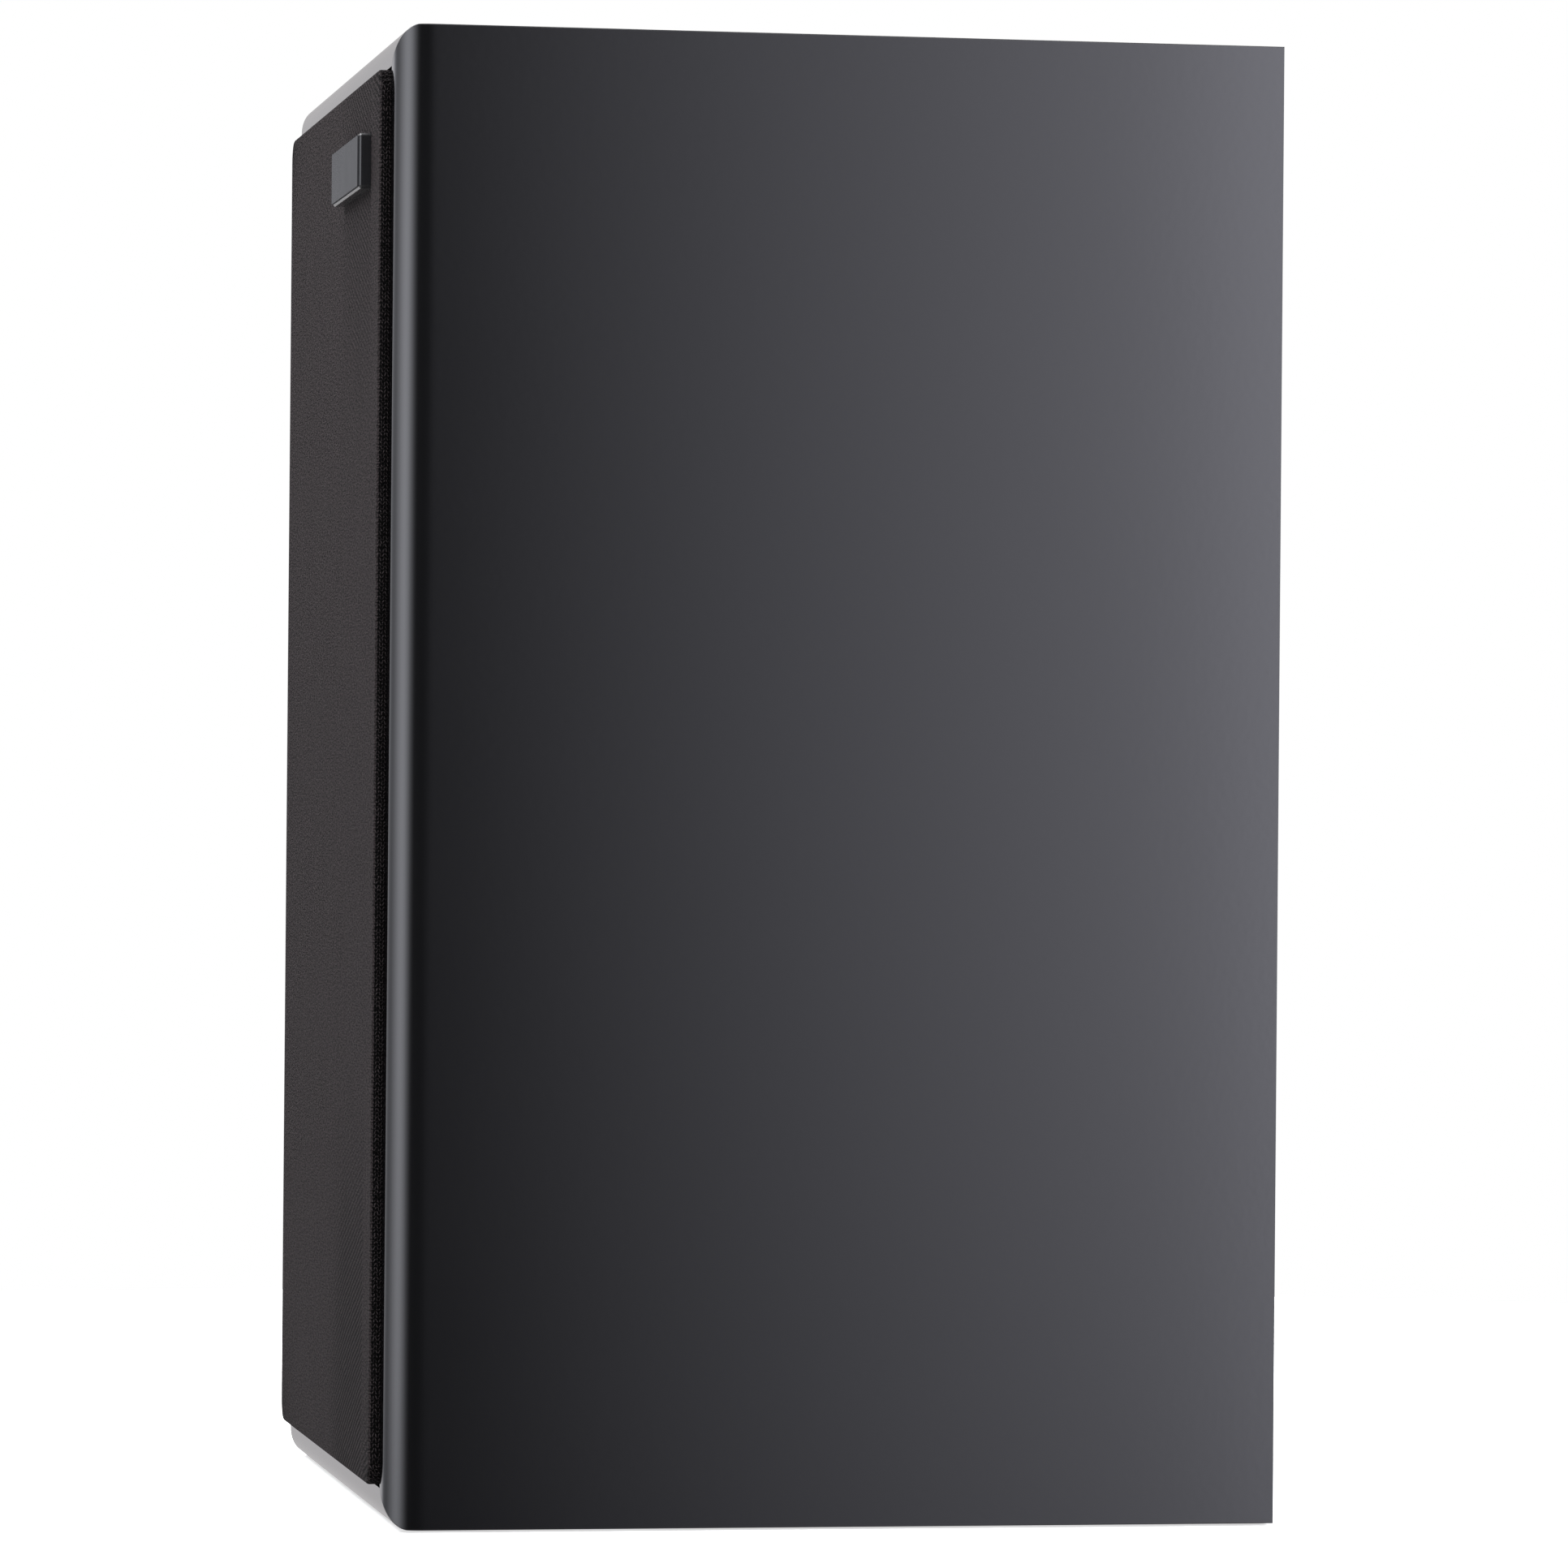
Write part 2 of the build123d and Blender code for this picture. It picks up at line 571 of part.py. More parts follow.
def woofer_basket():
    """Die-cast chassis: flange, surround ledge, windowed cone wall and spider seat."""
    flange_back = BAFFLE_FACE + WOOFER_FLANGE_THICKNESS
    seat_radius = BASKET_REAR_RADIUS - BASKET_WALL
    bore = seat_radius - SPIDER_SEAT_WIDTH
    basket = turned(
        [
            (WOOFER_LIP_RADIUS, BAFFLE_FACE),
            (WOOFER_FLANGE_RADIUS - WOOFER_FLANGE_CHAMFER, BAFFLE_FACE),
            (WOOFER_FLANGE_RADIUS, BAFFLE_FACE + WOOFER_FLANGE_CHAMFER),
            (WOOFER_FLANGE_RADIUS, flange_back),
            (BASKET_SKIRT_RADIUS, flange_back),
            (BASKET_SKIRT_RADIUS, BAFFLE_BACK),
            (BASKET_REAR_RADIUS, SPIDER_SEAT + BASKET_WALL),
            (BASKET_REAR_RADIUS, BASKET_SEAT),
            (MAGNET_BORE_RADIUS, BASKET_SEAT),
            (MAGNET_BORE_RADIUS, BASKET_SEAT - BASKET_WALL),
            (bore, BASKET_SEAT - BASKET_WALL),
            (bore, SPIDER_SEAT),
            (seat_radius, SPIDER_SEAT),
            (WOOFER_OPENING_RADIUS, BAFFLE_BACK),
            (WOOFER_OPENING_RADIUS, CONE_RIM),
            (WOOFER_LIP_RADIUS, CONE_RIM),
        ],
        z=WOOFER_HEIGHT,
    )
    front, back = BAFFLE_BACK + BASKET_WINDOW_MARGIN, SPIDER_SEAT - BASKET_WINDOW_MARGIN
    outline = RectangleRounded(BASKET_WINDOW_WIDTH, back - front, BASKET_WINDOW_CORNER)
    radial = Plane(origin=(bore, (front + back) / 2, 0), x_dir=(0, 0, -1), z_dir=(1, 0, 0))
    window = extrude(radial * outline, WOOFER_CUTOUT_RADIUS - bore)
    for i in range(BASKET_WINDOWS):
        basket -= Pos(0, 0, WOOFER_HEIGHT) * Rot(0, 360.0 * i / BASKET_WINDOWS, 0) * window
    for x, z in woofer_screw_places():
        basket -= disc(
            WOOD_SCREW_SHANK_RADIUS + SCREW_HOLE_SLACK, BAFFLE_FACE, flange_back, x, z
        )
    return basket


def woofer_screws():
    """Screws through the woofer's flange into the baffle."""
    return [
        screw(
            WOOD_SCREW_SHANK_RADIUS,
            WOOD_SCREW_HEAD_RADIUS,
            BAFFLE_THICKNESS - SCREW_TIP_COVER,
            BAFFLE_FACE,
            1,
            x,
            z,
        )
        for x, z in woofer_screw_places()
    ]


def woofer_surround():
    """Rubber half roll between the basket's ledge and the cone's rim."""
    t, lip, glued = SURROUND_THICKNESS, CONE_RIM, CONE_RADIUS - SURROUND_OVERLAP
    outer, inner = WOOFER_OPENING_RADIUS - SURROUND_MARGIN, CONE_RADIUS + SURROUND_MARGIN
    middle, crest = (outer + inner) / 2, lip - t - SURROUND_ROLL
    edge = WOOFER_LIP_RADIUS - SURROUND_FIT
    face = lip - t
    outline = [
        Line((glued, face), (inner, face)),
        ThreePointArc((inner, face), (middle, crest), (outer, face)),
        Line((outer, face), (edge, face)),
        Line((edge, face), (edge, lip)),
        Line((edge, lip), (outer - t, lip)),
        ThreePointArc((outer - t, lip), (middle, crest + t), (inner + t, lip)),
        Line((inner + t, lip), (glued, lip)),
        Line((glued, lip), (glued, face)),
    ]
    return spun(outline, z=WOOFER_HEIGHT)


def cone_front(radius):
    """Depth of the cone's front face at a radius, along its two straight flares."""
    flare = CONE_RIM + CONE_FLARE_DEPTH
    if radius > CONE_FLARE_RADIUS:
        share = (CONE_RADIUS - radius) / (CONE_RADIUS - CONE_FLARE_RADIUS)
        return CONE_RIM + share * CONE_FLARE_DEPTH
    share = (CONE_FLARE_RADIUS - radius) / (CONE_FLARE_RADIUS - FORMER_RADIUS)
    return flare + share * (NECK - flare)


def woofer_cone():
    """Flared cone from the surround down to the voice coil former."""
    flare = CONE_RIM + CONE_FLARE_DEPTH
    front = [(CONE_RADIUS, CONE_RIM), (CONE_FLARE_RADIUS, flare), (FORMER_RADIUS, NECK)]
    back = [(radius, y + CONE_THICKNESS) for radius, y in reversed(front)]
    return turned(front + back, z=WOOFER_HEIGHT)


def woofer_dust_cap():
    """Shallow domed cap glued into the cone over the former."""
    foot = cone_front(DUST_CAP_RADIUS)
    return domed_shell(DUST_CAP_RADIUS, DUST_CAP_RISE, DUST_CAP_THICKNESS, foot, WOOFER_HEIGHT)


def woofer_coil_former():
    """Thin tube that carries the winding into the magnet gap."""
    return tube(FORMER_BORE_RADIUS, FORMER_RADIUS, NECK, FORMER_BACK, z=WOOFER_HEIGHT)


def woofer_voice_coil():
    """Copper winding at the inner end of the former."""
    front = FORMER_BACK - WINDING_LENGTH
    return tube(FORMER_RADIUS, WINDING_RADIUS, front, FORMER_BACK, z=WOOFER_HEIGHT)


def ripples(start, end, y, rise, count):
    """Half waves from one radius to another about the depth y, the first one forwards."""
    radii = [start + (end - start) * i / count for i in range(count + 1)]
    return [
        ThreePointArc((a, y), ((a + b) / 2, y - rise * (-1) ** i), (b, y))
        for i, (a, b) in enumerate(zip(radii, radii[1:]))
    ]


def woofer_spider():
    """Rippled centring disc between the basket's inner seat and the former."""
    back = SPIDER_SEAT
    front = back - SPIDER_THICKNESS
    outer = BASKET_REAR_RADIUS - BASKET_WALL - SPIDER_SLACK
    land, hub = outer - SPIDER_SEAT_WIDTH, FORMER_RADIUS + SPIDER_HUB
    outline = [
        Line((outer, back), (outer, front)),
        Line((outer, front), (land, front)),
        *ripples(land, hub, front, SPIDER_RIPPLE, 2 * SPIDER_RIPPLES),
        Line((hub, front), (FORMER_RADIUS, front)),
        Line((FORMER_RADIUS, front), (FORMER_RADIUS, back)),
        Line((FORMER_RADIUS, back), (hub, back)),
        *ripples(land, hub, back, SPIDER_RIPPLE, 2 * SPIDER_RIPPLES),
        Line((land, back), (outer, back)),
    ]
    return spun(outline, z=WOOFER_HEIGHT)


def woofer_top_plate():
    """Front steel plate of the woofer's magnet, bored for the voice coil."""
    bore = WINDING_RADIUS + GAP_CLEARANCE
    return tube(bore, TOP_PLATE_RADIUS, BASKET_SEAT, TOP_PLATE_BACK, z=WOOFER_HEIGHT)


def woofer_magnet():
    """Ferrite ring."""
    return tube(MAGNET_BORE_RADIUS, MAGNET_RADIUS, TOP_PLATE_BACK, MAGNET_BACK, z=WOOFER_HEIGHT)


def woofer_back_plate():
    """Steel back plate with the centre pole forged on it."""
    pole = FORMER_BORE_RADIUS - GAP_CLEARANCE
    back = MAGNET_BACK + BACK_PLATE_THICKNESS
    return turned(
        [
            (0, BASKET_SEAT),
            (pole, BASKET_SEAT),
            (pole, MAGNET_BACK),
            (BACK_PLATE_RADIUS, MAGNET_BACK),
            (BACK_PLATE_RADIUS, back),
            (0, back),
        ],
        z=WOOFER_HEIGHT,
    )


def tag_strip(x, front, z, end):
    """Insulating strip with two solder tags that stand back from it.

    x is the tags' middle, (front, z) the strip's front face and middle, and end the strip's
    reach to the +X side of the tags.
    """
    back = front + TAG_STRIP_THICKNESS
    half = TAG_STRIP_WIDTH / 2
    strip = block((x - half, end), (front, back), (z - half, z + half))
    tags = [
        block(
            (x + side * TAG_SPACING / 2 - TAG_WIDTH / 2, x + side * TAG_SPACING / 2 + TAG_WIDTH / 2),
            (back, back + TAG_LENGTH),
            (z - TAG_THICKNESS / 2, z + TAG_THICKNESS / 2),
        )
        for side in (-1, 1)
    ]
    return [strip] + tags


def woofer_tags():
    """Tag strip on the side of the basket's rear ring."""
    front = BASKET_SEAT - TAG_STRIP_THICKNESS
    return tag_strip(WOOFER_TAG_X, front, WOOFER_HEIGHT, -BASKET_REAR_RADIUS)


# ------------------------------------------------------------------ tweeter
def tweeter_screw_places():
    """Fixing screws round the tweeter's faceplate."""
    return ring_places(TWEETER_SCREWS, TWEETER_SCREW_RADIUS, TWEETER_HEIGHT)


def tweeter_faceplate():
    """Round faceplate with a short flare in front of the dome."""
    back = BAFFLE_FACE + TWEETER_PLATE_THICKNESS
    plate_ring = turned(
        [
            (TWEETER_MOUTH_RADIUS, BAFFLE_FACE),
            (TWEETER_PLATE_RADIUS - TWEETER_PLATE_CHAMFER, BAFFLE_FACE),
            (TWEETER_PLATE_RADIUS, BAFFLE_FACE + TWEETER_PLATE_CHAMFER),
            (TWEETER_PLATE_RADIUS, back),
            (TWEETER_BOSS_RADIUS, back),
            (TWEETER_BOSS_RADIUS, POT_FACE),
            (TWEETER_THROAT_RADIUS, POT_FACE),
            (TWEETER_THROAT_RADIUS, POT_FACE - TWEETER_BOSS_DEPTH),
        ],
        z=TWEETER_HEIGHT,
    )
    for x, z in tweeter_screw_places():
        plate_ring -= disc(
            SMALL_SCREW_SHANK_RADIUS + SCREW_HOLE_SLACK, BAFFLE_FACE, back, x, z
        )
    return plate_ring


def tweeter_screws():
    """Screws through the faceplate into the baffle."""
    return [
        screw(
            SMALL_SCREW_SHANK_RADIUS,
            SMALL_SCREW_HEAD_RADIUS,
            SMALL_SCREW_LENGTH,
            BAFFLE_FACE,
            1,
            x,
            z,
        )
        for x, z in tweeter_screw_places()
    ]


def tweeter_dome():
    """Fabric dome, a thin shell on the voice coil's front end."""
    return domed_shell(DOME_RADIUS, DOME_RISE, DOME_THICKNESS, DOME_FOOT, TWEETER_HEIGHT)


def tweeter_surround():
    """Narrow flexible roll round the dome."""
    lip = DOME_FOOT - DOME_THICKNESS
    middle = (DOME_RADIUS + TWEETER_ROLL_RADIUS) / 2
    crest = DOME_FOOT - TWEETER_ROLL_RISE
    outline = [
        Line((DOME_RADIUS, DOME_FOOT), (DOME_RADIUS, lip)),
        ThreePointArc((DOME_RADIUS, lip), (middle, crest), (TWEETER_ROLL_RADIUS, lip)),
        Line((TWEETER_ROLL_RADIUS, lip), (TWEETER_ROLL_RADIUS, DOME_FOOT)),
        Line((TWEETER_ROLL_RADIUS, DOME_FOOT), (DOME_RADIUS, DOME_FOOT)),
    ]
    return spun(outline, z=TWEETER_HEIGHT)


def tweeter_voice_coil():
    """Winding under the dome's edge, standing in the pot's gap."""
    return tube(
        TWEETER_COIL_BORE,
        DOME_RADIUS,
        DOME_FOOT,
        DOME_FOOT + TWEETER_COIL_LENGTH,
        z=TWEETER_HEIGHT,
    )


def tweeter_pot():
    """Steel pot that surrounds the tweeter's magnet."""
    bore = DOME_RADIUS + GAP_CLEARANCE
    back = POT_FACE + POT_DEPTH
    return turned(
        [
            (bore, POT_FACE),
            (POT_RADIUS, POT_FACE),
            (POT_RADIUS, back),
            (0, back),
            (0, back - POT_FLOOR),
            (bore, back - POT_FLOOR),
        ],
        z=TWEETER_HEIGHT,
    )


def tweeter_magnet():
    """Magnet disc standing on the pot's floor."""
    floor = POT_FACE + POT_DEPTH - POT_FLOOR
    front = POT_FACE + TWEETER_POLE_THICKNESS
    return disc(TWEETER_COIL_BORE - 2 * GAP_CLEARANCE, front, floor, z=TWEETER_HEIGHT)


def tweeter_pole_plate():
    """Steel disc on the magnet that closes the gap inside the voice coil."""
    front = POT_FACE
    back = POT_FACE + TWEETER_POLE_THICKNESS
    return disc(TWEETER_COIL_BORE - GAP_CLEARANCE, front, back, z=TWEETER_HEIGHT)


def tweeter_tags():
    """Tag strip on the back of the pot."""
    return tag_strip(0.0, POT_FACE + POT_DEPTH, TWEETER_HEIGHT, TAG_STRIP_WIDTH / 2)


def tweeter_guard():
    """Pressed steel guard: a flat perforated face on a short skirt."""
    face = BAFFLE_FACE - GUARD_HEIGHT
    cover = disc(GUARD_RADIUS, face, BAFFLE_FACE, z=TWEETER_HEIGHT)
    cover -= disc(
        GUARD_RADIUS - GUARD_THICKNESS, face + GUARD_THICKNESS, BAFFLE_FACE, z=TWEETER_HEIGHT
    )
    hole = RegularPolygon(GUARD_HOLE_WIDTH / 2, 6, major_radius=False)
    holes = []
    for row in range(-GUARD_RINGS, GUARD_RINGS + 1):
        count = 2 * GUARD_RINGS + 1 - abs(row)
        z = TWEETER_HEIGHT + row * GUARD_HOLE_PITCH * sin(pi / 3)
        for i in range(count):
            x = (i - (count - 1) / 2) * GUARD_HOLE_PITCH
            holes.append(plate(Rot(0, 0, 30) * hole, face, face + GUARD_THICKNESS, x, z))
    return cover - holes


# ------------------------------------------------------------------ terminals
def post_x(side):
    """Red post on one side (-1) and black on the other (1)."""
    return side * POST_SPACING / 2


def terminal_screw_places():
    """Screws in the terminal plate's corners."""
    half_width = TERMINAL_PLATE_WIDTH / 2 - TERMINAL_SCREW_INSET
    half_height = TERMINAL_PLATE_HEIGHT / 2 - TERMINAL_SCREW_INSET
    return corner_places(half_width, TERMINAL_HEIGHT - half_height, TERMINAL_HEIGHT + half_height)


def terminal_plate():
    """Moulded plate with an insulating boss round each post."""
    outline = RectangleRounded(TERMINAL_PLATE_WIDTH, TERMINAL_PLATE_HEIGHT, TERMINAL_PLATE_CORNER)
    body = plate(outline, REAR_FACE, PLATE_FACE, z=TERMINAL_HEIGHT)
    body = fillet(rear_edges(body), TERMINAL_PLATE_EDGE_RADIUS)
    for side in (-1, 1):
        body += disc(POST_BOSS_RADIUS, PLATE_FACE, BOSS_FACE, post_x(side), TERMINAL_HEIGHT)
        body -= disc(POST_RADIUS, REAR_FACE, BOSS_FACE, post_x(side), TERMINAL_HEIGHT)
    for x, z in terminal_screw_places():
        body -= disc(SMALL_SCREW_SHANK_RADIUS + SCREW_HOLE_SLACK, REAR_FACE, PLATE_FACE, x, z)
    return body


def terminal_plate_screws():
    """Screws that hold the terminal plate to the rear panel."""
    return [
        screw(
            SMALL_SCREW_SHANK_RADIUS,
            SMALL_SCREW_HEAD_RADIUS,
            SMALL_SCREW_LENGTH,
            PLATE_FACE,
            -1,
            x,
            z,
        )
        for x, z in terminal_screw_places()
    ]


def binding_post(side):
    """Metal post, bored from its outer end for a 4 mm plug."""
    x = post_x(side)
    post = disc(POST_RADIUS, REAR_FACE - POST_TAIL, POST_END, x, TERMINAL_HEIGHT)
    return post - disc(POST_BORE_RADIUS, POST_END - POST_BORE_LENGTH, POST_END, x, TERMINAL_HEIGHT)


def post_nuts():
    """Hexagon nuts that clamp the posts behind the plate."""
    nuts = []
    for side in (-1, 1):
        outline = RegularPolygon(POST_NUT_WIDTH / 2, 6, major_radius=False) - Circle(POST_RADIUS)
        nuts.append(
            plate(outline, REAR_FACE - POST_NUT_THICKNESS, REAR_FACE, post_x(side), TERMINAL_HEIGHT)
        )
    return nuts


def clamp_collar(side):
    """Metal washer carried by the knob that presses the bare wire on the boss."""
    bore = POST_RADIUS + THREAD_FIT
    ring = tube(bore, COLLAR_RADIUS, BOSS_FACE, COLLAR_BACK, post_x(side), TERMINAL_HEIGHT)
    return fillet(front_edges(ring) + rear_edges(ring), COLLAR_EDGE_RADIUS)


def knob(side):
    """Fluted knob that runs on the post's thread."""
    outline = Circle(KNOB_RADIUS) - Circle(POST_RADIUS + THREAD_FIT)
    for x, y in ring_places(KNOB_FLUTES, KNOB_RADIUS + KNOB_FLUTE_RADIUS / 2, 0.0, start=0.0):
        outline -= Pos(x, y) * Circle(KNOB_FLUTE_RADIUS)
    body = plate(outline, COLLAR_BACK, KNOB_BACK, post_x(side), TERMINAL_HEIGHT)
    blank = disc(KNOB_RADIUS, COLLAR_BACK, KNOB_BACK, post_x(side), TERMINAL_HEIGHT)
    return body & fillet(rear_edges(blank), KNOB_EDGE_RADIUS)


# ------------------------------------------------------------------ crossover
def crossover_board():
    """Printed circuit board behind the drive units, parallel to the rear panel."""
    half_width, half_height = BOARD_WIDTH / 2, BOARD_HEIGHT / 2
    return block(
        (-half_width, half_width),
        (BOARD_FRONT, BOARD_BACK),
        (BOARD_CENTRE_HEIGHT - half_height, BOARD_CENTRE_HEIGHT + half_height),
    )


def crossover_standoffs():
    """Hexagonal pillars between the board and the rear panel."""
    half_width = BOARD_WIDTH / 2 - STANDOFF_INSET
    half_height = BOARD_HEIGHT / 2 - STANDOFF_INSET
    outline = RegularPolygon(STANDOFF_WIDTH / 2, 6, major_radius=False)
    places = corner_places(
        half_width, BOARD_CENTRE_HEIGHT - half_height, BOARD_CENTRE_HEIGHT + half_height
    )
    return [plate(outline, BOARD_BACK, REAR_INSIDE, x, z) for x, z in places]


def inductors():
    """Air-cored coils standing on the board."""
    z = BOARD_CENTRE_HEIGHT + BOARD_HEIGHT / 4
    return [
        tube(
            INDUCTOR_BORE_RADIUS,
            INDUCTOR_RADIUS,
            BOARD_FRONT - INDUCTOR_LENGTH,
            BOARD_FRONT,
            side * INDUCTOR_SPREAD / 2,
            z,
        )
        for side in (-1, 1)
    ]


def capacitors():
    """Film capacitors lying on the board in a row."""
    z = BOARD_CENTRE_HEIGHT - CAPACITOR_DROP
    y = BOARD_FRONT - CAPACITOR_RADIUS
    body = Rot(0, 90, 0) * Cylinder(CAPACITOR_RADIUS, CAPACITOR_LENGTH)
    ends = body.edges().filter_by(GeomType.CIRCLE)
    body = chamfer(ends, CAPACITOR_CHAMFER)
    return [Pos(i * CAPACITOR_PITCH, y, z) * body for i in (-1, 0, 1)]


def resistors():
    """Square ceramic resistors in a row along the board's lower edge."""
    z = BOARD_CENTRE_HEIGHT - BOARD_HEIGHT / 2 + RESISTOR_EDGE_INSET
    half = RESISTOR_LENGTH / 2
    return [
        block(
            (i * RESISTOR_PITCH - half, i * RESISTOR_PITCH + half),
            (BOARD_FRONT - RESISTOR_WIDTH, BOARD_FRONT),
            (z - RESISTOR_WIDTH / 2, z + RESISTOR_WIDTH / 2),
        )
        for i in (-1, 0, 1)
    ]


def twin_lead(x, start, end):
    """Flat twin lead in an upright plane from one (y, z) place forward to another."""
    places = [start, (start[0] - LEAD_RUN, start[1]), (end[0] + LEAD_RUN, end[1]), end]
    route = FilletPolyline(*[(x, y, z) for y, z in places], radius=LEAD_BEND)
    section = Plane(origin=route @ 0, x_dir=(1, 0, 0), z_dir=route % 0)
    return sweep(section * Rectangle(LEAD_WIDTH, LEAD_THICKNESS), route)


def woofer_lead():
    """From the board's lower edge to the woofer's tags."""
    low = BOARD_CENTRE_HEIGHT - BOARD_HEIGHT / 2 + LEAD_EDGE_INSET
    return twin_lead(WOOFER_TAG_X, (BOARD_FRONT, low), (BASKET_SEAT + TAG_LENGTH, WOOFER_HEIGHT))


def tweeter_lead():
    """From the board's upper edge to the tweeter's tags."""
    high = BOARD_CENTRE_HEIGHT + BOARD_HEIGHT / 2 - LEAD_EDGE_INSET
    back = POT_FACE + POT_DEPTH + TAG_STRIP_THICKNESS + TAG_LENGTH
    return twin_lead(0.0, (BOARD_FRONT, high), (back, TWEETER_HEIGHT))


def input_wires():
    """From the posts' inner ends round the board's lower edge to its front."""
    post_tip = REAR_FACE - POST_TAIL
    front = BOARD_FRONT - WIRE_REACH
    low = BOARD_CENTRE_HEIGHT - BOARD_HEIGHT / 2 + LEAD_EDGE_INSET
    wires = []
    for side in (-1, 1):
        places = [
            (post_tip, TERMINAL_HEIGHT),
            (front, TERMINAL_HEIGHT),
            (front, low),
            (BOARD_FRONT, low),
        ]
        route = FilletPolyline(*[(post_x(side), y, z) for y, z in places], radius=WIRE_BEND)
        section = Plane(origin=route @ 0, z_dir=route % 0)
        wires.append(sweep(section * Circle(WIRE_RADIUS), route))
    return wires


# ------------------------------------------------------------------ assembly
def assembly():
    """Every sub-part by its node name."""
    nodes = cabinet_walls()
    nodes.update(
        front_baffle=front_baffle(),
        front_battens=batten_frame(FRONT_BATTEN, BAFFLE_BACK, BAFFLE_BACK + FRONT_BATTEN),
        rear_battens=batten_frame(REAR_BATTEN, REAR_BATTEN_BACK - REAR_BATTEN, REAR_BATTEN_BACK),
        rear_panel=rear_panel(),
        rear_gasket=rear_gasket(),
        rear_panel_screws=rear_panel_screws(),
        damping_sheets=lining(0.0, DAMPING_SHEET_THICKNESS),
        foam_lining=lining(DAMPING_SHEET_THICKNESS, FOAM_THICKNESS),
        grille_frame=grille_frame(),
        grille_cloth=grille_cloth(),
        grille_sockets=grille_sockets(),
        badge_base=badge_base(),
        badge_plate=badge_plate(),
        woofer_basket=woofer_basket(),
        woofer_screws=woofer_screws(),
        woofer_surround=woofer_surround(),
        woofer_cone=woofer_cone(),
        woofer_dust_cap=woofer_dust_cap(),
        woofer_coil_former=woofer_coil_former(),
        woofer_voice_coil=woofer_voice_coil(),
        woofer_spider=woofer_spider(),
        woofer_top_plate=woofer_top_plate(),
        woofer_magnet=woofer_magnet(),
        woofer_back_plate=woofer_back_plate(),
        woofer_tags=woofer_tags(),
        tweeter_faceplate=tweeter_faceplate(),
        tweeter_screws=tweeter_screws(),
        tweeter_dome=tweeter_dome(),
        tweeter_surround=tweeter_surround(),
        tweeter_voice_coil=tweeter_voice_coil(),
        tweeter_pot=tweeter_pot(),
        tweeter_magnet=tweeter_magnet(),
        tweeter_pole_plate=tweeter_pole_plate(),
        tweeter_tags=tweeter_tags(),
        tweeter_guard=tweeter_guard(),
        terminal_plate=terminal_plate(),
        terminal_plate_screws=terminal_plate_screws(),
        post_nuts=post_nuts(),
        crossover_board=crossover_board(),
        crossover_standoffs=crossover_standoffs(),
        inductors=inductors(),
        capacitors=capacitors(),
        resistors=resistors(),
        woofer_lead=woofer_lead(),
        tweeter_lead=tweeter_lead(),
        input_wires=input_wires(),
    )
    for colour, side in (("red", -1), ("black", 1)):
        nodes[f"{colour}_post"] = binding_post(side)
        nodes[f"{colour}_collar"] = clamp_collar(side)
        nodes[f"{colour}_knob"] = knob(side)
    return nodes


def main():
    """Write one STEP file for each node."""
    os.makedirs("parts", exist_ok=True)
    for name, shape in assembly().items():
        solid = Compound(children=shape) if isinstance(shape, list) else shape
        export_step(solid, f"parts/{name}.step")


if __name__ == "__main__":
    main()
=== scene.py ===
"""Looks for a closed-box two-way bookshelf speaker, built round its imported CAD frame.

Metres. The frame is the CAD model's: the origin is the middle of the cabinet's base, +Z is up,
-Y is the listener's side and +X is the listener's right.
"""

import logging
import math
from collections.abc import Callable
from dataclasses import dataclass, field
from enum import Enum

import bmesh
import bpy
import numpy as np
from mathutils import Matrix, Vector


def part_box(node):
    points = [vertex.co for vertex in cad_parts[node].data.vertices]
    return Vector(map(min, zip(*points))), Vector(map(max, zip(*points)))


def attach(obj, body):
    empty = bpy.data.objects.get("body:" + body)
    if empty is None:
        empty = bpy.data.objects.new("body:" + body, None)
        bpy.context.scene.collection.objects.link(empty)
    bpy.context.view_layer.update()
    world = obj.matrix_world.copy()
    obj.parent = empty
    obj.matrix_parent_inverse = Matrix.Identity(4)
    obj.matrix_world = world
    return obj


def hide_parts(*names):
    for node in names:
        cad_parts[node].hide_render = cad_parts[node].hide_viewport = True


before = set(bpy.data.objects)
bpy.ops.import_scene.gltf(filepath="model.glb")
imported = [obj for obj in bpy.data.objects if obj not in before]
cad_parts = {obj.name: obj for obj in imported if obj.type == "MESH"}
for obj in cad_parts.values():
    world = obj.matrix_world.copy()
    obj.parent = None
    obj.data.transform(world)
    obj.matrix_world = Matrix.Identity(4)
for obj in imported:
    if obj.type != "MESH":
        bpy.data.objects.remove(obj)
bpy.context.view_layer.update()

log = logging.getLogger("speaker")
MM = 0.001
EULER = 2.718
Colour = tuple[float, float, float]
Span = tuple[float, float]


# --- shader kit
def _unary(operation: str) -> Callable[["Field"], "Field"]:
    """A method that adds one Math node on a field."""
    return lambda one: one._math(operation, one)


def _binary(operation: str, swap: bool = False) -> Callable[["Field", "Field | float"], "Field"]:
    """A method that adds one Math node on a field and another value, swapped if asked."""
    return lambda one, other: one._math(operation, *((other, one) if swap else (one, other)))


